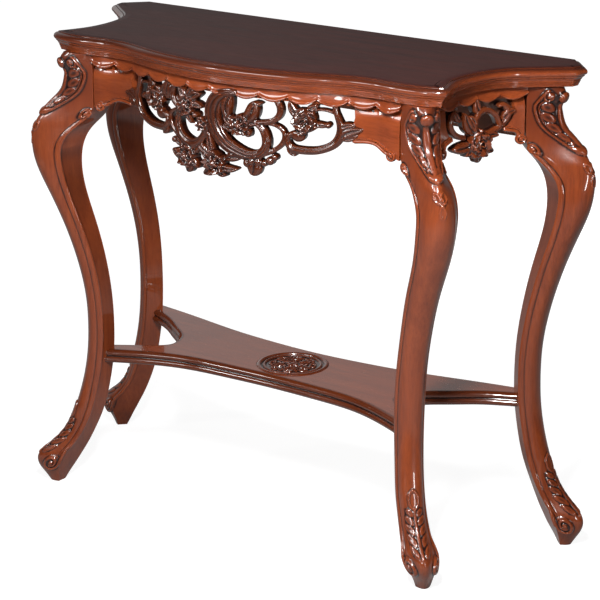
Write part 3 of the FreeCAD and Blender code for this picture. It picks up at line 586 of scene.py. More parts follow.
front_start = np.array([-FRONT_HALF, front_joint[1]])
front_plan = face_plan(front_start, np.array([1.0, 0.0]), front_bow, 2 * FRONT_HALF)
side_plan = face_plan(side_joint[:2], side_run / SIDE_SPAN, side_bow, SIDE_SPAN)


def wrapped(shell, plan):
    """Bend a flat shell, given as along from the middle of the face, out and up, onto the face."""
    points, faces = shell
    along = points[:, 0] + plan["span"] / 2
    inside = np.clip(along, 0, plan["span"])
    slope = (bow_at(plan, inside + 1) - bow_at(plan, inside - 1)) / 2
    length = np.hypot(1, slope)
    forward = along - slope / length * points[:, 1]
    outward = bow_at(plan, inside) + (along - inside) * slope + points[:, 1] / length
    flat = plan["start"] + forward[:, None] * plan["along"] + outward[:, None] * plan["out"]
    return np.column_stack([flat, points[:, 2]]), faces


def wrapped_all(shells, plan):
    return [wrapped(shell, plan) for shell in shells]


# Flat carving: shells in along, out and up

def symmetric(half):
    """Section whose second half mirrors its first."""
    return np.concatenate([half, mirrored(half[:-1])])


# Sections in shares of half the width and of the height
round_section = symmetric([(-1, -0.3), (-0.97, 0.25), (-0.85, 0.6), (-0.6, 0.88), (-0.3, 0.98), (0, 1)])
leaf_section = symmetric([(-1, 0), (-0.9, 0.5), (-0.7, 0.85), (-0.45, 1), (-0.22, 0.9), (-0.08, 0.62),
                          (0, 0.5)])
petal_section = symmetric([(-1, 0.45), (-0.92, 0.85), (-0.75, 1), (-0.45, 0.8), (-0.2, 0.62), (0, 0.55)])
moulded_section = [
    (-1, -0.3), (-0.98, 0.35), (-0.9, 0.62), (-0.76, 0.7), (-0.64, 0.58), (-0.56, 0.62), (-0.36, 0.9),
    (-0.1, 1), (0.16, 0.96), (0.36, 0.78), (0.46, 0.64), (0.58, 0.72), (0.76, 0.82), (0.9, 0.7),
    (0.98, 0.35), (1, -0.3)]
ribbed_section = [
    (-1, -0.3), (-0.98, 0.3), (-0.9, 0.55), (-0.8, 0.6), (-0.7, 0.45), (-0.6, 0.62), (-0.42, 0.86),
    (-0.24, 0.9), (-0.12, 0.74), (-0.02, 0.82), (0.2, 1), (0.4, 0.96), (0.52, 0.74), (0.6, 0.7),
    (0.76, 0.86), (0.9, 0.74), (0.98, 0.4), (1, -0.3)]
bead_section = [
    (-1, -0.3), (-0.97, 0.3), (-0.85, 0.65), (-0.6, 0.95), (-0.25, 1), (0.1, 0.86), (0.3, 0.6),
    (0.42, 0.5), (0.55, 0.62), (0.75, 0.66), (0.92, 0.4), (1, -0.3)]

# Outlines in shares of the length, then of the width and the height there
leaf_profile = [
    (0, 0.3, 0.55), (0.18, 0.72, 0.8), (0.38, 1.0, 1.0), (0.58, 1.0, 1.0), (0.78, 0.8, 0.85),
    (0.92, 0.46, 0.75), (1, 0.14, 0.6)]
petal_profile = [
    (0, 0.4, 0.4), (0.25, 0.7, 0.6), (0.5, 0.95, 0.9), (0.75, 1.05, 1.1), (0.92, 0.9, 1.08),
    (1, 0.6, 0.9)]

BACK_OF_CARVING = -12.0
STEP_LENGTH = 1.3
LEAST_STEPS = 12
LEAST_HALF = 0.15
LEAST_CLOSE = 0.02
UNDERCUT = 6.0
BACK_SHARE = 0.9
PETALS = 5
ROLL_STEPS = 22


def ribbon(rows, section, base=0.0, back=BACK_OF_CARVING, blunt=True):
    """Carved band from rows of along, up, width and height, with its section across."""
    rows = np.asarray(rows, float)
    length = run_along(rows[:, :2])[-1]
    count = max(LEAST_STEPS, int(length / STEP_LENGTH))
    line = spline(rows, count)
    across = -unit_normals(line[:, :2])
    run = np.linspace(0, length, count)
    reach = np.maximum(line[:, 2] / 2, 1.0) if blunt else 1.0
    close = rounded(1 - np.clip(np.minimum(run, length - run) / reach, LEAST_CLOSE, 1))
    half = np.maximum(line[:, 2] / 2 * close, LEAST_HALF)
    high = line[:, 3] * close
    depths = [(share, base + rise * (high if rise >= 0 else UNDERCUT)) for share, rise in section]
    depths += [(share, back) for share in (BACK_SHARE, -BACK_SHARE)]
    sections = []
    for share, depth in depths:
        x, z = (line[:, :2] + across * (half * share)[:, None]).T
        sections.append(np.column_stack([x, np.broadcast_to(depth, count), z]))
    return tube(np.stack(sections, axis=1))


def leaf(root, tip, width, height, sway, base=0.0, profile=leaf_profile, section=leaf_section):
    """Pointed leaf from root to tip that sways to one side, with a vein along its middle."""
    root = np.array(root, float)
    spine = np.array(tip, float) - root
    across = np.array([-spine[1], spine[0]])
    rows = []
    for along, wide, high in profile:
        place = root + spine * along + across * sway * math.sin(math.pi * along)
        rows.append((*place, width * wide, height * high))
    return ribbon(rows, section, base, blunt=False)


def dome(x, z, radius, height, base=0.0, stretch=1.0):
    """Round bud on a short stem."""
    profile = [(radius, BACK_OF_CARVING)]
    profile += [(radius * math.cos(angle), base + height * math.sin(angle))
                for angle in np.linspace(0, math.pi / 2, 7)]
    points, faces = lathe(profile, steps=20)
    return points * np.array([stretch, 1, 1]) + np.array([x, 0, z]), faces


def petals(x, z, turn, shift, radii, width, height, sway, base):
    """Ring of cupped petals between two radii."""
    shells = []
    for index in range(PETALS):
        angle = turn + 2 * math.pi * (index + shift) / PETALS
        root, tip = np.outer(radii, (math.sin(angle), math.cos(angle))) + [x, z]
        shells.append(leaf(root, tip, width, height, sway, base, petal_profile, petal_section))
    return shells


def blossom(x, z, radius, height, turn):
    """Open flower: cupped petals round a raised heart with small seeds."""
    shells = petals(x, z, turn, 0, (radius * 0.12, radius), radius * 1.05, height, 0.06, 0)
    shells.append(dome(x, z, radius * 0.34, height * 0.75, height * 0.55))
    for index in range(PETALS):
        angle = turn + math.pi * (2 * index + 1) / PETALS
        shells.append(dome(x + radius * 0.4 * math.sin(angle), z + radius * 0.4 * math.cos(angle),
                           radius * 0.13, height * 0.25, height * 0.8))
    return shells


def rose(x, z, radius, height, turn):
    """Full rose: broad outer petals and a spiral of rolled inner ones."""
    shells = []
    for shift, share, lift in ((0, 1.0, 0.0), (0.5, 0.78, 0.28)):
        shells += petals(x, z, turn, shift, (radius * 0.1, radius * share), radius * 1.15 * share,
                         height * 0.62, 0.05, height * lift)
    shells.append(dome(x, z, radius * 0.6, height * 0.16, height * 0.36))
    for first, last, wide, low, high in ((0.6, 0.42, 0.17, 0.66, 0.8), (0.34, 0.08, 0.15, 0.84, 1.0)):
        angles = np.linspace(0, 2.4 * math.pi, ROLL_STEPS) + turn + first * 9
        reach = radius * np.linspace(first, last, ROLL_STEPS)
        rows = np.column_stack([x + reach * np.sin(angles), z + reach * np.cos(angles),
                                np.full(ROLL_STEPS, radius * wide),
                                np.linspace(height * low, height * high, ROLL_STEPS)])
        shells.append(ribbon(rows, round_section))
    return shells


def band(rows, height, section=moulded_section):
    return ribbon([(x, z, width, height) for x, z, width in rows], section)


# Front carving: bands as rows of along, up and width; leaves as root, tip, width, height and sway
# The two sides are alike but for the middle

outer_scroll = [
    (141, 745, 7), (131, 741, 9), (127, 730, 11), (135, 719, 12.5), (152, 716, 13), (173, 717, 13),
    (193, 723, 13.5), (208, 733, 15), (216, 747, 15.6), (216, 765, 12.4), (210, 782, 9.1),
    (206, 802, 8.5)]
tendril = [(170, 784, 5), (180, 787, 5), (193, 787, 5), (208, 783, 6)]
upper_scroll = [
    (103, 802, 9), (113, 789, 11.5), (114, 775, 11.5), (105, 764, 10.4), (89, 758, 8.5), (67, 756, 7)]
crescent = [
    (84, 755, 5), (107, 754, 6.5), (121, 743, 7.8), (121, 731, 8.5), (113, 719, 8.5), (97, 708, 8.5),
    (72, 698, 8)]
large_scroll = [
    (36, 804, 9), (14, 800, 17), (-8, 787, 29), (-17, 768, 35), (-16, 749, 34), (-6, 730, 30),
    (11, 713, 27), (33, 703, 23), (56, 698, 19.5), (76, 702, 17), (88, 714, 15.5), (89, 733, 14),
    (81, 748, 11), (68, 756, 7)]
small_scroll = [
    (-93, 754, 9), (-101, 737, 13), (-97, 717, 17), (-82, 704, 20), (-63, 701, 19), (-46, 710, 15),
    (-36, 724, 12), (-28, 741, 9)]

paired_leaves = [
    ((209, 733), (255, 759), 17, 6, 0.12), ((211, 748), (241, 765), 12, 6, 0.2),
    ((212, 742), (246, 749), 10, 5, -0.12), ((152, 770), (131, 799), 17, 7, 0.1),
    ((168, 767), (199, 763), 11, 7, -0.1), ((160, 780), (180, 794), 13, 6, 0.1),
    ((128, 725), (143, 706), 11, 5, -0.15)]
single_leaves = [
    ((-73, 769), (-60, 802), 18, 7, 0.1), ((-72, 768), (-103, 780), 16, 7, 0.12),
    ((-76, 765), (-64, 736), 15, 7, -0.1), ((-70, 767), (-41, 767), 14, 7, 0.1),
    ((43, 749), (5, 744), 19, 8, 0.12), ((44, 752), (62, 790), 18, 9, -0.1),
    ((43, 748), (75, 754), 16, 8, 0.1), ((41, 748), (58, 729), 17, 9, 0.1),
    ((41, 748), (28, 731), 14, 8, -0.1), ((52, 772), (82, 789), 12, 8, 0.15),
    ((-79, 677), (-116, 684), 17, 7, 0.12), ((-79, 677), (-100, 661), 15, 7, -0.1),
    ((-78, 677), (-76, 648), 19, 7, 0.08), ((-76, 677), (-52, 659), 15, 7, 0.1),
    ((-12, 677), (-39, 653), 18, 8, 0.1), ((-12, 677), (9, 655), 19, 8, -0.1),
    ((-10, 677), (34, 671), 13, 7, -0.12), ((-14, 678), (-27, 727), 17, 6, 0.06),
    ((-14, 680), (-44, 690), 13, 6, 0.1), ((68, 691), (63, 663), 28, 7, 0.04),
    ((8, 765), (21, 798), 14, 6, 0.12), ((24, 798), (17, 756), 24, 10, -0.16),
    ((46, 754), (70, 793), 26, 11, -0.12), ((40, 752), (8, 762), 22, 9, 0.16),
    ((-80, 772), (-97, 796), 18, 8, -0.1), ((-74, 772), (-44, 790), 17, 8, 0.14),
    ((-80, 762), (-104, 748), 16, 8, 0.1), ((-66, 682), (-48, 700), 18, 6, 0.1),
    ((-92, 690), (-112, 704), 15, 6, -0.12), ((-30, 690), (-50, 708), 16, 6, 0.1),
    ((6, 684), (40, 690), 17, 6, 0.1), ((-128, 768), (-122, 802), 20, 6, 0.1)]

# Blossoms as along, up, radius, height and turn; buds as along, up, radius and height
blossoms = [
    (-76, 767, 18, 13, 0.0), (42, 749, 18, 15, 0.4), (-40, 739, 12, 11, 0.2), (-78, 677, 19, 13, 0.6),
    (-12, 676, 21, 14, 0.1)]
buds = [
    (53, 684, 8, 8), (62, 688, 7, 9), (74, 688, 8, 8), (85, 687, 6, 7), (95, 692, 7.5, 7),
    (104, 699, 6, 6), (90, 722, 6, 9), (-57, 752, 6, 9), (-112, 700, 6, 6)]


def front_carving_shells():
    paired = [band(outer_scroll, 7), band(tendril, 4, round_section), band(upper_scroll, 6),
              band(crescent, 4.5)]
    paired += [leaf(*row) for row in paired_leaves] + rose(158, 767, 21, 17, 0.0)
    paired += [dome(146, 741, 11, 8, stretch=1.15), dome(196, 762, 5.5, 7)]
    shells = both_sides(paired)
    shells += [band(large_scroll, 9, ribbed_section), band(small_scroll, 7)]
    shells += [leaf(*row) for row in single_leaves]
    for row in blossoms:
        shells += blossom(*row)
    return shells + [dome(*row) for row in buds]


def side_carving_shells():
    scroll = [(144, 783, 6), (154, 787, 8.5), (162, 779, 10.4), (163, 767, 10.4), (157, 757, 9.75),
              (145, 748, 9.75), (121, 740, 9)]
    arch = [(97, 743, 12), (96, 765, 12), (109, 780, 12), (127, 779, 10.4), (141, 768, 9), (149, 749, 9)]
    leaves = [((97, 729), (43, 725), 20, 7, 0.06), ((103, 729), (138, 709), 18, 7, -0.06),
              ((102, 729), (102, 693), 22, 7, 0.08), ((103, 732), (148, 735), 16, 7, 0.1),
              ((98, 726), (76, 707), 17, 7, -0.1), ((97, 742), (70, 783), 20, 7, 0.1),
              ((107, 776), (97, 803), 18, 6, 0.1), ((153, 760), (178, 776), 14, 6, 0.15),
              ((60, 770), (42, 790), 13, 6, 0.1), ((97, 750), (82, 776), 14, 8, -0.1)]
    shells = [band(scroll, 6), band([(SIDE_SPAN - x, z, wide) for x, z, wide in scroll], 6),
              band(arch, 8, ribbed_section)]
    shells += [leaf(*row) for row in leaves] + rose(103, 726, 24, 20, 0.5)
    return [(points - np.array([SIDE_SPAN / 2, 0, 0]), faces) for points, faces in shells]


# Aprons: plain end panels, a rail behind the scalloped strip, a bead and an end volute

RAIL_UNDERSIDE = 797.0
RAIL_LAP = 4.0
RAIL_STEPS = 81
PANEL_COLUMNS = 33
PANEL_ROWS = 31
HOLLOW_FROM = 774.0
HOLLOW_TO = 800.0
HOLLOW_DEPTH = 9.0
BEAD_LIFT = 3.4
BEAD_WIDTH = 9.5
BEAD_HEIGHT = 4.6
BEAD_BACK = -6.0
BEAD_LAP = 4.0
VOLUTE_OUT = 4.2
volute_profile = [
    (0, 1.6), (2.2, 1.4), (3.3, 0.2), (4.0, -0.6), (4.9, -0.2), (6.4, 1.0), (8.0, 0.6), (9.0, -1.2),
    (9.0, -6)]
front_edge = [(236.4, 735.5), (230.4, 752), (236.4, 767), (240, 780.5), (235.2, 797)]
front_lower = [(236.4, 735.5), (261.3, 738), (281, 735.6), (307.6, 724.8), (343.3, 714)]
side_edge = [(58.5, 742), (70.2, 755.4), (78, 776.2), (71.1, 797)]
side_lower = [(58.5, 742), (77, 738), (82.8, 735.6), (90.6, 724.8), (110, 714)]


def volute(x, z, plan):
    profile = [(radius, VOLUTE_OUT + along) for radius, along in volute_profile]
    return wrapped(lathe(profile, (x, 0, z)), plan)


def panel(edge, lower, end, thickness):
    """End panel from its curved inner edge to the post, above a curved lower line."""
    edge_x, edge_z = np.array(edge).T
    low_x, low_z = np.array(lower).T
    sections = []
    for column in np.linspace(0, 1, PANEL_COLUMNS):
        x_low = edge_x[0] + (end - edge_x[0]) * column
        z_low = float(interpolate(low_x, low_z, [x_low])[0])
        heights = z_low + (LEG_TOP - z_low) * np.linspace(0, 1, PANEL_ROWS)
        inner_x = interpolate(edge_z, edge_x, np.clip(heights, edge_z[0], edge_z[-1]))
        x = inner_x + (end - inner_x) * column
        sunk = HOLLOW_DEPTH * fade(heights, HOLLOW_FROM, HOLLOW_TO) ** 2
        front = np.column_stack([x, -sunk, heights])
        rear = front[::-1] - np.array([0, thickness, 0])
        sections.append(np.concatenate([front, rear]))
    return tube(sections)


def apron_shells(plan, edge, lower, end, thickness, scroll):
    """Rail, end panels, the bead under each panel and the volute that ends it."""
    rail_half = edge[-1][0] + RAIL_LAP
    corners = [(0, RAIL_UNDERSIDE), (0, LEG_TOP), (-thickness, LEG_TOP), (-thickness, RAIL_UNDERSIDE)]
    rail = [[(x, *corner) for corner in corners] for x in np.linspace(-rail_half, rail_half, RAIL_STEPS)]
    bead = [(x, z + BEAD_LIFT, BEAD_WIDTH, BEAD_HEIGHT) for x, z in lower if x < scroll[0] + BEAD_LAP]
    bead.append((scroll[0] + 6.5, scroll[1] + 5.5, 7, 4.4))
    shells = both_sides([panel(edge, lower, end, thickness), ribbon(bead, bead_section, back=BEAD_BACK)])
    shells = wrapped_all([tube(rail)] + shells, plan)
    return shells + [volute(side * scroll[0], scroll[1], plan) for side in (1, -1)]


LOBE_STEPS = 24
LOBE_NOTCH = 804.5
LOBE_DROP = 8.5
LOBE_MEAN = 0.35

# Out, share of the height up to the post top, and swell of each row
lappet_rows = [
    (0.6, 1.0, 0.0), (1.2, 0.84, 0.4), (1.8, 0.66, 0.9), (2.4, 0.48, 1.4), (3.2, 0.33, 1.8),
    (4.0, 0.24, 2.0), (5.2, 0.17, 2.0), (6.2, 0.08, 2.0), (6.3, 0.0, 2.0), (5.6, -0.06, 2.0),
    (4.2, -0.08, 1.8), (2.6, -0.04, 1.2), (-3.0, 0.06, 0.0), (-3.0, 1.0, 0.0)]


def lappet_shells(plan, half, lobes):
    """Scalloped strip: each lobe swells out and ends in a thin rolled lip."""
    along = np.linspace(-half, half, lobes * LOBE_STEPS + 1)
    phase = (along + half) / (2 * half) * lobes * 2 * math.pi
    swell = (1 - np.cos(phase)) / 2
    low = LOBE_NOTCH - LOBE_DROP * np.abs(np.sin(phase / 2)) ** 0.8
    sections = [np.column_stack([along, out + wave * (swell - LOBE_MEAN), low + (LEG_TOP - low) * share])
                for out, share, wave in lappet_rows]
    return wrapped_all([tube(np.stack(sections, axis=1))], plan)


add_carving("front_carving", wrapped_all(front_carving_shells(), front_plan), front_carving_wood, front_plan)
side_shells = wrapped_all(side_carving_shells(), side_plan)
add_carving("side_carving_right", side_shells, side_carving_wood, side_plan)
add_carving("side_carving_left", mirror_all(side_shells), side_carving_wood, {**side_plan, "side": -1})

front_apron = apron_shells(front_plan, front_edge, front_lower, end=328.0, thickness=20.0, scroll=(313, 724))
side_apron = apron_shells(side_plan, side_edge, side_lower, end=94.6, thickness=18.0, scroll=(88.5, 725))
add_shells("apron_front", front_apron, front_wood, rounds=3, depth=0.45)
add_pair("apron", side_apron, side_wood, rounds=3, depth=0.45)
add_shells("lappet_front", lappet_shells(front_plan, FRONT_HALF, lobes=13), front_edge_wood)
add_pair("lappet", lappet_shells(side_plan, SIDE_SPAN / 2, lobes=4), side_edge_wood)

# Legs: one smooth profile table, with relief that stands out from the two outer faces

# Rows of height, then outer, inner and arris reach along the diagonal, then half width
knee_rows = np.array([
    (0, 10.5, -16, -3, 13), (14.7, 20, -25, -3, 18), (31.8, 31, -36, -3, 24), (45.7, 34.5, -44.5, -6, 27),
    (60, 29, -53, -13, 27.5), (75, 11, -61.5, -26, 26), (100, -15, -74, -45, 24.3),
    (140, -36, -91, -64, 23.8), (190, -52, -104, -78, 23.5), (249.7, -63.5, -113, -88, 24.3),
    (300.3, -66.5, -115, -91, 25), (350, -65, -113.5, -89.5, 25), (430, -50.5, -103.5, -77.5, 25.5),
    (500.2, -28, -87.5, -58, 27.5), (559.8, -3, -71.5, -38, 30), (615.3, 19, -65.5, -25, 32.5),
    (650.4, 24, -72, -27, 33.5), (674.8, 22, -86, -43, 33.8), (695.2, 14, -107, -70, 32.8),
    (KNEE, 7, -118, -85.5, 31.8)])
post_rows = np.array([(KNEE, 7), (712, -1), (722, -11), (735, -26), (750, -36), (769, -40.5),
                      (778, -41.5), (785, -39.5), (792, -34), (801, -30.5), (809, -32), (LEG_TOP, -37)])
BULGE_WIDTH = 0.62
bulge_levels = (70, 150, 570, 600, 630, 655, 680)
bulge_reach = (0.62, 0.84, 0.84, 0.81, 0.74, 0.67, 0.62)

# Drift across the leg at the rows above, and of the outer edge of the post by height
knee_drifts = {
    "front": np.array([0, 0, -2, -4, -6, -8, -10, -12, -12, -11, -10, -8, -2.5, 4, 12, 16, 17, 15, 9, 0]),
    "back": np.array([0, 0, -2, -2, -2, -1, 0, 0, 0, 0.5, 1.5, 3, 7, 8.5, 9.5, 10.5, 11.5, 10.5, 6, 0])}
post_drift = np.array([(KNEE, 14), (722, 11), (735, 8), (750, 5), (769, 2), (790, 0), (LEG_TOP, 0)])
EASE = 12.0
EASE_REACH = 30
EASE_WIDTH = 40.0
FACE_STEPS = 40
OUTER_STEPS = 88
PILLOW_HOLLOW = 0.55


def knee_rows_at(levels, corner):
    """Outer, inner and arris reach, half width, drift and outer drift at each height."""
    drift = knee_drifts[corner]
    outer_drift = np.concatenate([drift[:-1], post_drift[:1, 1]])
    table = np.column_stack([knee_rows[:, 1:], drift, outer_drift])
    values = interpolate(knee_rows[:, 0], table, np.minimum(levels, KNEE))
    above = levels > KNEE
    values[above, 0] = interpolate(post_rows[:, 0], post_rows[:, 1], levels[above])
    values[above, 1:5] = POST_INNER, POST_ARRIS, POST_HALF, 0
    values[above, 5] = interpolate(post_drift[:, 0], post_drift[:, 1], levels[above])
    return values


def leg_rows(levels, corner):
    """The same rows with the turn from leg to post eased over some millimetres."""
    fine = np.arange(-EASE_WIDTH, LEG_TOP + EASE_WIDTH + 1)
    table = knee_rows_at(np.clip(fine, 0, LEG_TOP), corner)
    weights = np.exp(-(np.arange(-EASE_REACH, EASE_REACH + 1) / EASE) ** 2 / 2)
    eased = np.column_stack([np.convolve(column, weights / weights.sum(), "same") for column in table.T])
    near_knee = bell(fine, KNEE, EASE_WIDTH)[:, None]
    table = table * (1 - near_knee) + eased * near_knee
    return np.column_stack([np.interp(levels, fine, column) for column in table.T])


def leg_grid(levels, corner):
    """Points of the bare leg by height, round from the inner corner, and two face coordinates.

    The first is the distance from the middle line of the outer faces, the second the distance
    from the nearer arris, positive on the outer face."""
    grid = []
    across = []
    from_arris = []
    share = np.linspace(0, 1, FACE_STEPS, endpoint=False)[:, None]
    for level, (outer, inner, arris, half, drift, outer_drift) in zip(levels, leg_rows(levels, corner)):
        reach = np.interp(level, bulge_levels, bulge_reach)
        bulge = arris + (outer - arris) * reach
        middle = drift + (outer_drift - drift) * reach
        turns = [(arris, drift - half), (bulge, middle - half * BULGE_WIDTH), (outer, outer_drift),
                 (bulge, middle + half * BULGE_WIDTH), (arris, drift + half)]
        curve = spline(turns, OUTER_STEPS + 1)
        start = np.array([inner, drift])
        rise = start * (1 - share) + curve[0] * share
        fall = curve[-1] * (1 - share) + start * share
        grid.append(at_height(np.concatenate([rise, curve, fall[1:]]), level))
        run = run_along(curve)
        behind = math.hypot(arris - inner, half) * (share[:, 0] - 1)
        from_arris.append(np.concatenate([behind, np.minimum(run, run[-1] - run), behind[:0:-1]]))
        across.append(run[-1] / 2 - from_arris[-1])
    return np.array(grid), np.array(across), np.array(from_arris)


def nearest(across, up, path):
    """Distance of each place on a face from a path drawn on it."""
    distance = np.full(across.shape, 1e3)
    for start, end in zip(path[:-1], path[1:]):
        run = end - start
        share = ((across - start[0]) * run[0] + (up - start[1]) * run[1]) / (run @ run)
        share = np.clip(share, 0, 1)
        gap = np.hypot(across - start[0] - share * run[0], up - start[1] - share * run[1])
        distance = np.minimum(distance, gap)
    return distance


def ridge(across, up, points, width, height, count=30):
    """Rounded ridge along a curve on a face."""
    return height * rounded(nearest(across, up, spline(points, count)) / width)


def pillow(across, up, centre, radii, height, turn=0.0, hollow=0.0):
    """Swelling with a rounded rim, hollowed in its middle if wished."""
    cos, sin = math.cos(turn), math.sin(turn)
    x = ((across - centre[0]) * cos + (up - centre[1]) * sin) / radii[0]
    y = ((up - centre[1]) * cos - (across - centre[0]) * sin) / radii[1]
    r = np.hypot(x, y)
    return height * rounded(r, 4) - hollow * bell(r, 0, PILLOW_HOLLOW) * (r < 1)


def highest(across, up, ridges, pillows):
    """Height of the highest of some ridges and pillows at each place on a face."""
    return np.maximum.reduce([ridge(across, up, *row) for row in ridges]
                             + [pillow(across, up, *row) for row in pillows])


def spiral(centre, radius, end_radius, start, turns, count=26):
    angles = np.linspace(start, start + turns * 2 * math.pi, count)
    reach = np.linspace(radius, end_radius, count)
    return np.column_stack([centre[0] + reach * np.cos(angles), centre[1] + reach * np.sin(angles)])


# Heights between which the leg is carved or given painted shade
KNEE_FROM = 640.0
FOOT_FROM = 20.0
FOOT_TO = 165.0
SCROLL_FROM = 675.0
SCROLL_TO = 730.0
FOOT_SHADE_FROM = 62.0
FOOT_SHADE_TO = 128.0

# Heights between which a form or a painted shade fades in
ROLL_TAIL = (96, 54)
SHAFT_FOOT = (52, 72)
SHAFT_KNEE = (712, 702)
INNER_SHADE_FOOT = (180, 280)
INNER_SHADE_KNEE = (720, 580)

# Middle and half width, measured from the arris, and height
ARRIS_BEAD = (3.5, 5.5, 1.9)
QUIRK = (10.5, 2.0)
QUIRK_DEPTH = 0.5

RAISED = 0.05
# Painted shade added to the hollow measure: over the carved knee and foot, and on the inner faces of each
# leg
CARVED_SHADE = 0.17
FOOT_SHADE_HALF = 20.0
INNER_SHADE_EDGE = (0, -4)
inner_stains = {"front": 0.1, "back": 0.02}
FOOT_LEVELS = 130
SHAFT_LEVELS = 120
KNEE_LEVELS = 150
cartouche_eye = (27, 799)
roll_eye = (17, 43)
scroll_eye = (9.5, 707)

cartouche_border = [
    (0, 703.5), (11, 708), (22, 720), (31, 735), (38, 752), (42, 770), (42.5, 786), (38, 800), (29, 808)]
cartouche_inner = [
    (0, 709.5), (8.5, 713.5), (18, 725), (26, 739), (32, 754), (35.5, 770), (36, 784), (33, 791)]
cartouche_lobes = [
    ((22, 780), (13.5, 8.5), 0.45), ((22.5, 762.5), (14, 8.5), 0.55), ((18.5, 745), (13, 8.5), 0.65),
    ((12.5, 729.5), (10.5, 7.5), 0.8), ((6, 717.5), (7, 5.5), 0.9)]
foot_lobes = [
    ((8, 122), (8, 5.5), 0.7), ((10, 110), (9.5, 6), 0.7), ((11.5, 97), (10.5, 6.5), 0.7),
    ((12.5, 83), (11, 7), 0.7), ((13, 69), (10, 6.5), 0.7)]

# Ridges as points across and up, half width, height and steps
# Pillows as middle, radii, height, turn and hollow
knee_ridges = [
    (cartouche_border, 3.2, 3.8, 60), (cartouche_inner, 1.8, 2.6, 60),
    (spiral(cartouche_eye, 9.5, 3, math.pi / 2, -1.3), 2.6, 4.4, 40),
    ([(0, 785), (2, 755), (0, 712)], 4.6, 4.4), ([(0, 707.5), (9, 709.5)], 6.5, 5.2),
    ([(3, 672), (9, 674), (12, 681), (8, 688), (2, 685), (3, 676)], 1.8, 1.9),
    ([(2, 667), (5, 658), (3, 648)], 1.6, 1.5)]
knee_pillows = [(centre, radii, 3.8, turn, 0.9) for centre, radii, turn in cartouche_lobes]
knee_pillows += [(cartouche_eye, (4.4, 4.4), 5.6), ((0, 797), (11, 9), 6.0), ((0, 668), (3, 3), 2.0)]
foot_ridges = [
    ([(0, 158), (6, 152), (8, 142), (6, 132), (1, 127)], 2.2, 2.4), ([(0, 128), (0, 60)], 3.2, 2.4)]
foot_pillows = [(centre, radii, 2.8, turn, 0.4) for centre, radii, turn in foot_lobes]
foot_pillows += [((0, 142), (6.5, 14), 1.6)]
roll_path = np.concatenate([[(4, 92), (3, 70)], spiral(roll_eye, 15, 5.5, math.pi, 1.3)])
roll_ridge = (roll_path, 3.0, 5.2, 70)
roll_pillows = [(roll_eye, (15.5, 15.5), 2.2), (roll_eye, (4.6, 4.6), 6.4)]
scroll_ridges = [(spiral(scroll_eye, 9.5, 4, math.pi * 1.2, -1.3), 2.4, 4.4, 60)]
scroll_pillows = [(scroll_eye, (10.5, 10.5), 1.6), (scroll_eye, (3.4, 3.4), 5.0)]


def over(height, raised):
    """The higher of two carvings, where the second is raised at all."""
    return np.where(raised > RAISED, np.maximum(height, raised), height)


def relief(across, from_arris, up):
    """Height of the carving above the bare leg."""
    carved = np.zeros(up.shape)
    knee = up > KNEE_FROM
    carved[knee] = highest(across[knee], up[knee], knee_ridges, knee_pillows)
    foot = (up < FOOT_TO) & (up > FOOT_FROM)
    inward, z = from_arris[foot], up[foot]
    roll = np.maximum(highest(inward, z, [], roll_pillows),
                      ridge(inward, z, *roll_ridge) * fade(z, *ROLL_TAIL))
    carved[foot] = np.maximum(highest(across[foot], z, foot_ridges, foot_pillows), roll)
    moulding = rib(from_arris, *ARRIS_BEAD) - QUIRK_DEPTH * bell(from_arris, *QUIRK)
    height = over(fade(up, *SHAFT_FOOT) * fade(up, *SHAFT_KNEE) * moulding, carved)
    end = (up > SCROLL_FROM) & (up < SCROLL_TO)
    height[end] = over(height[end], highest(from_arris[end], up[end], scroll_ridges, scroll_pillows))
    return height


def stained(across, from_arris, up, inner_stain):
    """Painted shade where the knee and the foot are carved, and a weaker painted shade on the inner faces.
    """
    rise, reach = np.array(cartouche_border)[:, ::-1].T
    knee = (up > rise[0]) & (across < np.interp(up, rise, reach))
    foot = (up > FOOT_SHADE_FROM) & (up < FOOT_SHADE_TO) & (across < FOOT_SHADE_HALF)
    inner = fade(from_arris, *INNER_SHADE_EDGE) * fade(up, *INNER_SHADE_FOOT) * fade(up, *INNER_SHADE_KNEE)
    return np.maximum(CARVED_SHADE * (knee | foot), inner_stain * inner)


def leg_shell(corner):
    """Carved leg, and the painted shade at each of its points."""
    levels = np.concatenate([np.linspace(0, FOOT_TO, FOOT_LEVELS)[:-1],
                             np.linspace(FOOT_TO, KNEE_FROM, SHAFT_LEVELS)[:-1],
                             np.linspace(KNEE_FROM, LEG_TOP, KNEE_LEVELS)])
    grid, across, from_arris = leg_grid(levels, corner)
    up = grid[..., 2]
    around = (np.roll(grid, -1, axis=1) - np.roll(grid, 1, axis=1)) / 2
    normal = np.cross(around, np.gradient(grid, axis=0))
    normal /= np.maximum(np.linalg.norm(normal, axis=2, keepdims=True), 1e-6)
    carved = grid + normal * relief(across, from_arris, up)[..., None]
    carved[..., 2] = np.clip(carved[..., 2], 0, LEG_TOP)
    stain = stained(across, from_arris, up, inner_stains[corner])
    return tube(leg_place(corner, carved)), stain.ravel()


for corner in ("front", "back"):
    shell, stain = leg_shell(corner)
    add_pair("leg_" + corner, [shell], leg_woods[corner], sharp=55, rounds=14, depth=1.1, stain=stain)

# Shelf: moulded edges and the carved medallion

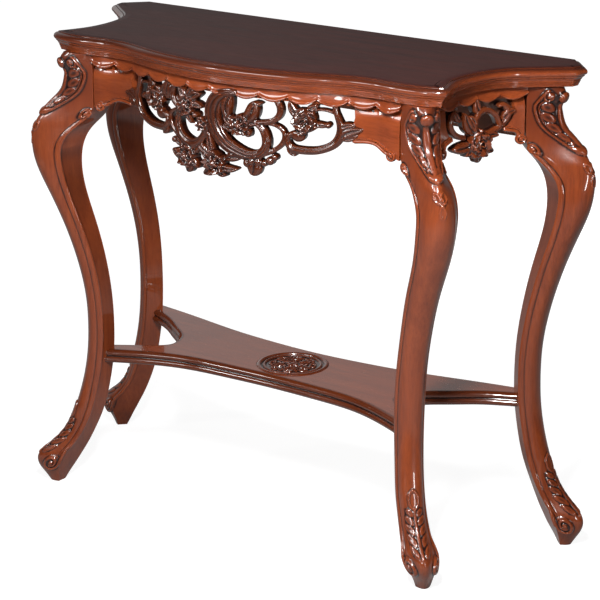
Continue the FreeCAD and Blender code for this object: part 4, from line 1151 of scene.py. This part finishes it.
SHELF_LIP = 2.0
shelf_front = [(0, -40.2), (100.5, -43.3), (201.1, -54.3), (261.4, -74.5), (311.7, -97.6), (346.9, -115.7)]
shelf_side = [
    (353.9, -94.7), (301.6, -59.2), (263.4, -32.1), (251.4, -17.1), (251.4, 10), (263.4, 35.4),
    (310.5, 76), (349.1, 105.3), (402.2, 132.9), (432.4, 147)]
shelf_profile = [
    (0, 260), (0.9, 259.9), (2.6, 259.2), (4.4, 258.3), (6.2, 257), (7.6, 255.2), (8.1, 253.2),
    (7.6, 251.2), (6.5, 249.8), (5.6, 249.1), (5.3, 248.3), (5.6, 247.6), (7.2, 246.4), (9, 244.6),
    (9.9, 242.2), (9.7, 239.9), (8.6, 237.8), (6.8, 236.4), (5.6, 236), (-SHELF_LIP, SHELF_UNDERSIDE),
    (-SHELF_LIP, SHELF)]


def shelf_edge(line):
    return [swept(line, unit_normals(line), shelf_profile)]


add_shells("shelf_edge_front", shelf_edge(both_halves(shelf_front, count=141)), shelf_edge_wood,
           ending="moulded")
add_pair("shelf_edge", shelf_edge(spline(shelf_side, count=121)), shelf_edge_wood)

MEDALLION_RADIUS = 66.0
DRAWN_RADIUS = 62.0
MEDALLION_RISE = 1.6
MEDALLION_Y = 27.0
MEDALLION_GROUND = SHELF - 1.8
MEDALLION_RIM = SHELF - 0.5
MEDALLION_BASE = SHELF - 4
MEDALLION_RINGS = 96
MEDALLION_SPOKES = 288
WAVES = 4
LEAF_ROOT = (11, 15)
LEAF_TIP = (0, 6)
CURL_PLACE = 35.0

# Middle, half width and height
OUTER_RIM = (57.5, 4.2, 2.6)
INNER_RIM = (48.5, 2.8, 2.0)
CURL = (4.5, 2.2, 1.9)


def medallion_height(r, angle):
    """Carved disc: double rim, a wreath of leaves and a small flower."""
    wave = np.cos(WAVES * angle)
    between = np.abs(np.sin(WAVES * angle))
    reach = 17 + 25 * np.abs(wave) ** 0.7
    vein = bell(between * r / WAVES, 0, 2.2) * (wave > 0)
    lobes = 0.6 * np.cos(r * 0.85 + 6 * between)
    leaves = fade(reach - r, *LEAF_TIP) * fade(r, *LEAF_ROOT) * (1.6 + lobes - 0.8 * vein)
    curls = rib(np.hypot(r - CURL_PLACE, (1 - between) * 16), *CURL)
    flower = 2.8 * rounded(r / (12.5 * (0.55 + 0.45 * np.abs(np.cos(2 * angle)))), 4)
    forms = [rib(r, *OUTER_RIM), rib(r, *INNER_RIM), leaves, curls, flower]
    return np.maximum.reduce(forms) - 0.9 * bell(r, 4.4, 0.9)


def medallion_shell():
    radii = np.linspace(0.2, MEDALLION_RADIUS, MEDALLION_RINGS)
    angles = np.linspace(0, 2 * math.pi, MEDALLION_SPOKES, endpoint=False)
    r, angle = np.meshgrid(radii, angles, indexing="ij")
    drawn = medallion_height(r * DRAWN_RADIUS / MEDALLION_RADIUS, angle)
    height = MEDALLION_GROUND + MEDALLION_RISE * drawn
    height[-1] = MEDALLION_RIM
    top = np.stack([r * np.cos(angle), MEDALLION_Y + r * np.sin(angle), height], axis=-1)
    base = top[-1:].copy()
    base[..., 2] = MEDALLION_BASE
    return tube(np.concatenate([top, base]))


add_shells("shelf_medallion", [medallion_shell()], medallion_wood, sharp=60, rounds=16, depth=0.25)

# Finish of the solids that keep their own shape

finishes = {"top_panel": top_wood, "shelf_panel": shelf_wood,
            "corner_block_screws": metal, "top_screws": metal}
for name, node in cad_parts.items():
    if not node.hide_render:
        node.data.materials.clear()
        node.data.materials.append(finishes.get(name, inner_wood))

# Stage: pale floor, soft light and the camera

WHITE = (1, 1, 1, 1)
FLOOR_HALF = 12.0

floor_mesh = bpy.data.meshes.new("floor")
corners = [(-FLOOR_HALF, -FLOOR_HALF, 0), (FLOOR_HALF, -FLOOR_HALF, 0), (FLOOR_HALF, FLOOR_HALF, 0),
           (-FLOOR_HALF, FLOOR_HALF, 0)]
floor_mesh.from_pydata(corners, [], [(0, 1, 2, 3)])
floor = new_object("floor", floor_mesh)
floor_material, floor_tree, floor_shader = nodes_of("pale_floor")
floor_place = add_node(floor_tree, "TexCoord").outputs["Object"]
away = add_node(floor_tree, "VectorMath", {0: floor_place}, operation="LENGTH")
white = add_node(floor_tree, "MapRange", {"Value": away.outputs["Value"], "From Min": 0.5, "From Max": 2.0,
                                          "To Min": 0.87, "To Max": 1.0})
direct = add_node(floor_tree, "LightPath").outputs["Is Camera Ray"]
glow = add_node(floor_tree, "MapRange", {"Value": direct, "To Min": 0.08, "To Max": white.outputs["Result"]})
set_inputs(floor_tree, floor_shader, {"Base Color": (0.25, 0.25, 0.25, 1), "Roughness": 0.8,
                                      "Emission Color": WHITE, "Emission Strength": glow.outputs["Result"]})
floor_mesh.materials.append(floor_material)

world = bpy.data.worlds.new("studio")
bpy.context.scene.world = world
world.use_nodes = True
sky = world.node_tree
towards = add_node(sky, "TexCoord").outputs["Generated"]
facing = add_node(sky, "VectorMath", {0: towards, 1: (-0.84, 0.5, 0.2)}, operation="DOT_PRODUCT")
screen = add_node(sky, "MapRange", {"Value": facing.outputs["Value"], "From Min": 0.75, "From Max": 1.0,
                                    "To Min": 0.04, "To Max": 0.5})
direct = add_node(sky, "LightPath").outputs["Is Camera Ray"]
seen = add_node(sky, "Math", {0: direct, 1: screen.outputs["Result"]}, operation="MAXIMUM")
set_inputs(sky, sky.nodes["Background"], {"Color": WHITE, "Strength": seen.outputs["Value"]})
bpy.context.scene.view_settings.view_transform = "Standard"


def aim_at(thing, target):
    """Turn a lamp or camera from its place to a target."""
    aim = Vector(target) - Vector(thing.location)
    thing.rotation_euler = aim.to_track_quat("-Z", "Y").to_euler()


# Place, target, size and power of each lamp, whether gloss mirrors it and whether it lights matt surfaces
lamps = {
    "key": ((0.75, -1.15, 1.6), (0.3, 0, 0.55), (0.22, 0.4), 50, True, True),
    "second": ((-1.6, -1.9, 1.9), (0, 0, 0.6), (0.14, 0.5), 11, True, True),
    "above": ((0, 0.2, 3.0), (0, 0, 0), (1.6, 1.0), 8, False, True),
    "behind": ((-0.4, 2.6, 0.9), (0, 0, 0.5), (1.2, 0.8), 24, False, True),
    "low_left": ((-1.3, -2.0, 0.45), (-0.4, 0, 0.1), (0.5, 0.5), 6, False, True),
    "glint_left": ((0.4, -2.4, 1.1), (0.3, 0, 0.6), (0.14, 0.8), 10, True, True),
    "softbox": ((-0.6, -1.9, 1.65), (0, 0, 0.7), (0.9, 0.4), 16, True, False),
    "glint_right": ((2.2, -0.9, 0.8), (0.4, 0, 0.6), (0.14, 0.7), 10, True, True)}
for name, (place, target, size, power, mirrored_in_gloss, lights_matt) in lamps.items():
    light = bpy.data.lights.new(name, "AREA")
    light.shape = "RECTANGLE"
    light.size, light.size_y = size
    light.energy = power
    lamp = new_object(name, light)
    lamp.location = place
    lamp.visible_camera = False
    lamp.visible_glossy = mirrored_in_gloss
    lamp.visible_diffuse = lights_matt
    aim_at(lamp, target)

camera_data = bpy.data.cameras.new("camera")
camera_data.lens = 139.96
camera_data.sensor_width = 36
camera = new_object("camera", camera_data)
camera.location = (2.3821, -3.1960, 1.6386)
aim_at(camera, (0.0444, -0.011, 0.3998))
bpy.context.scene.camera = camera
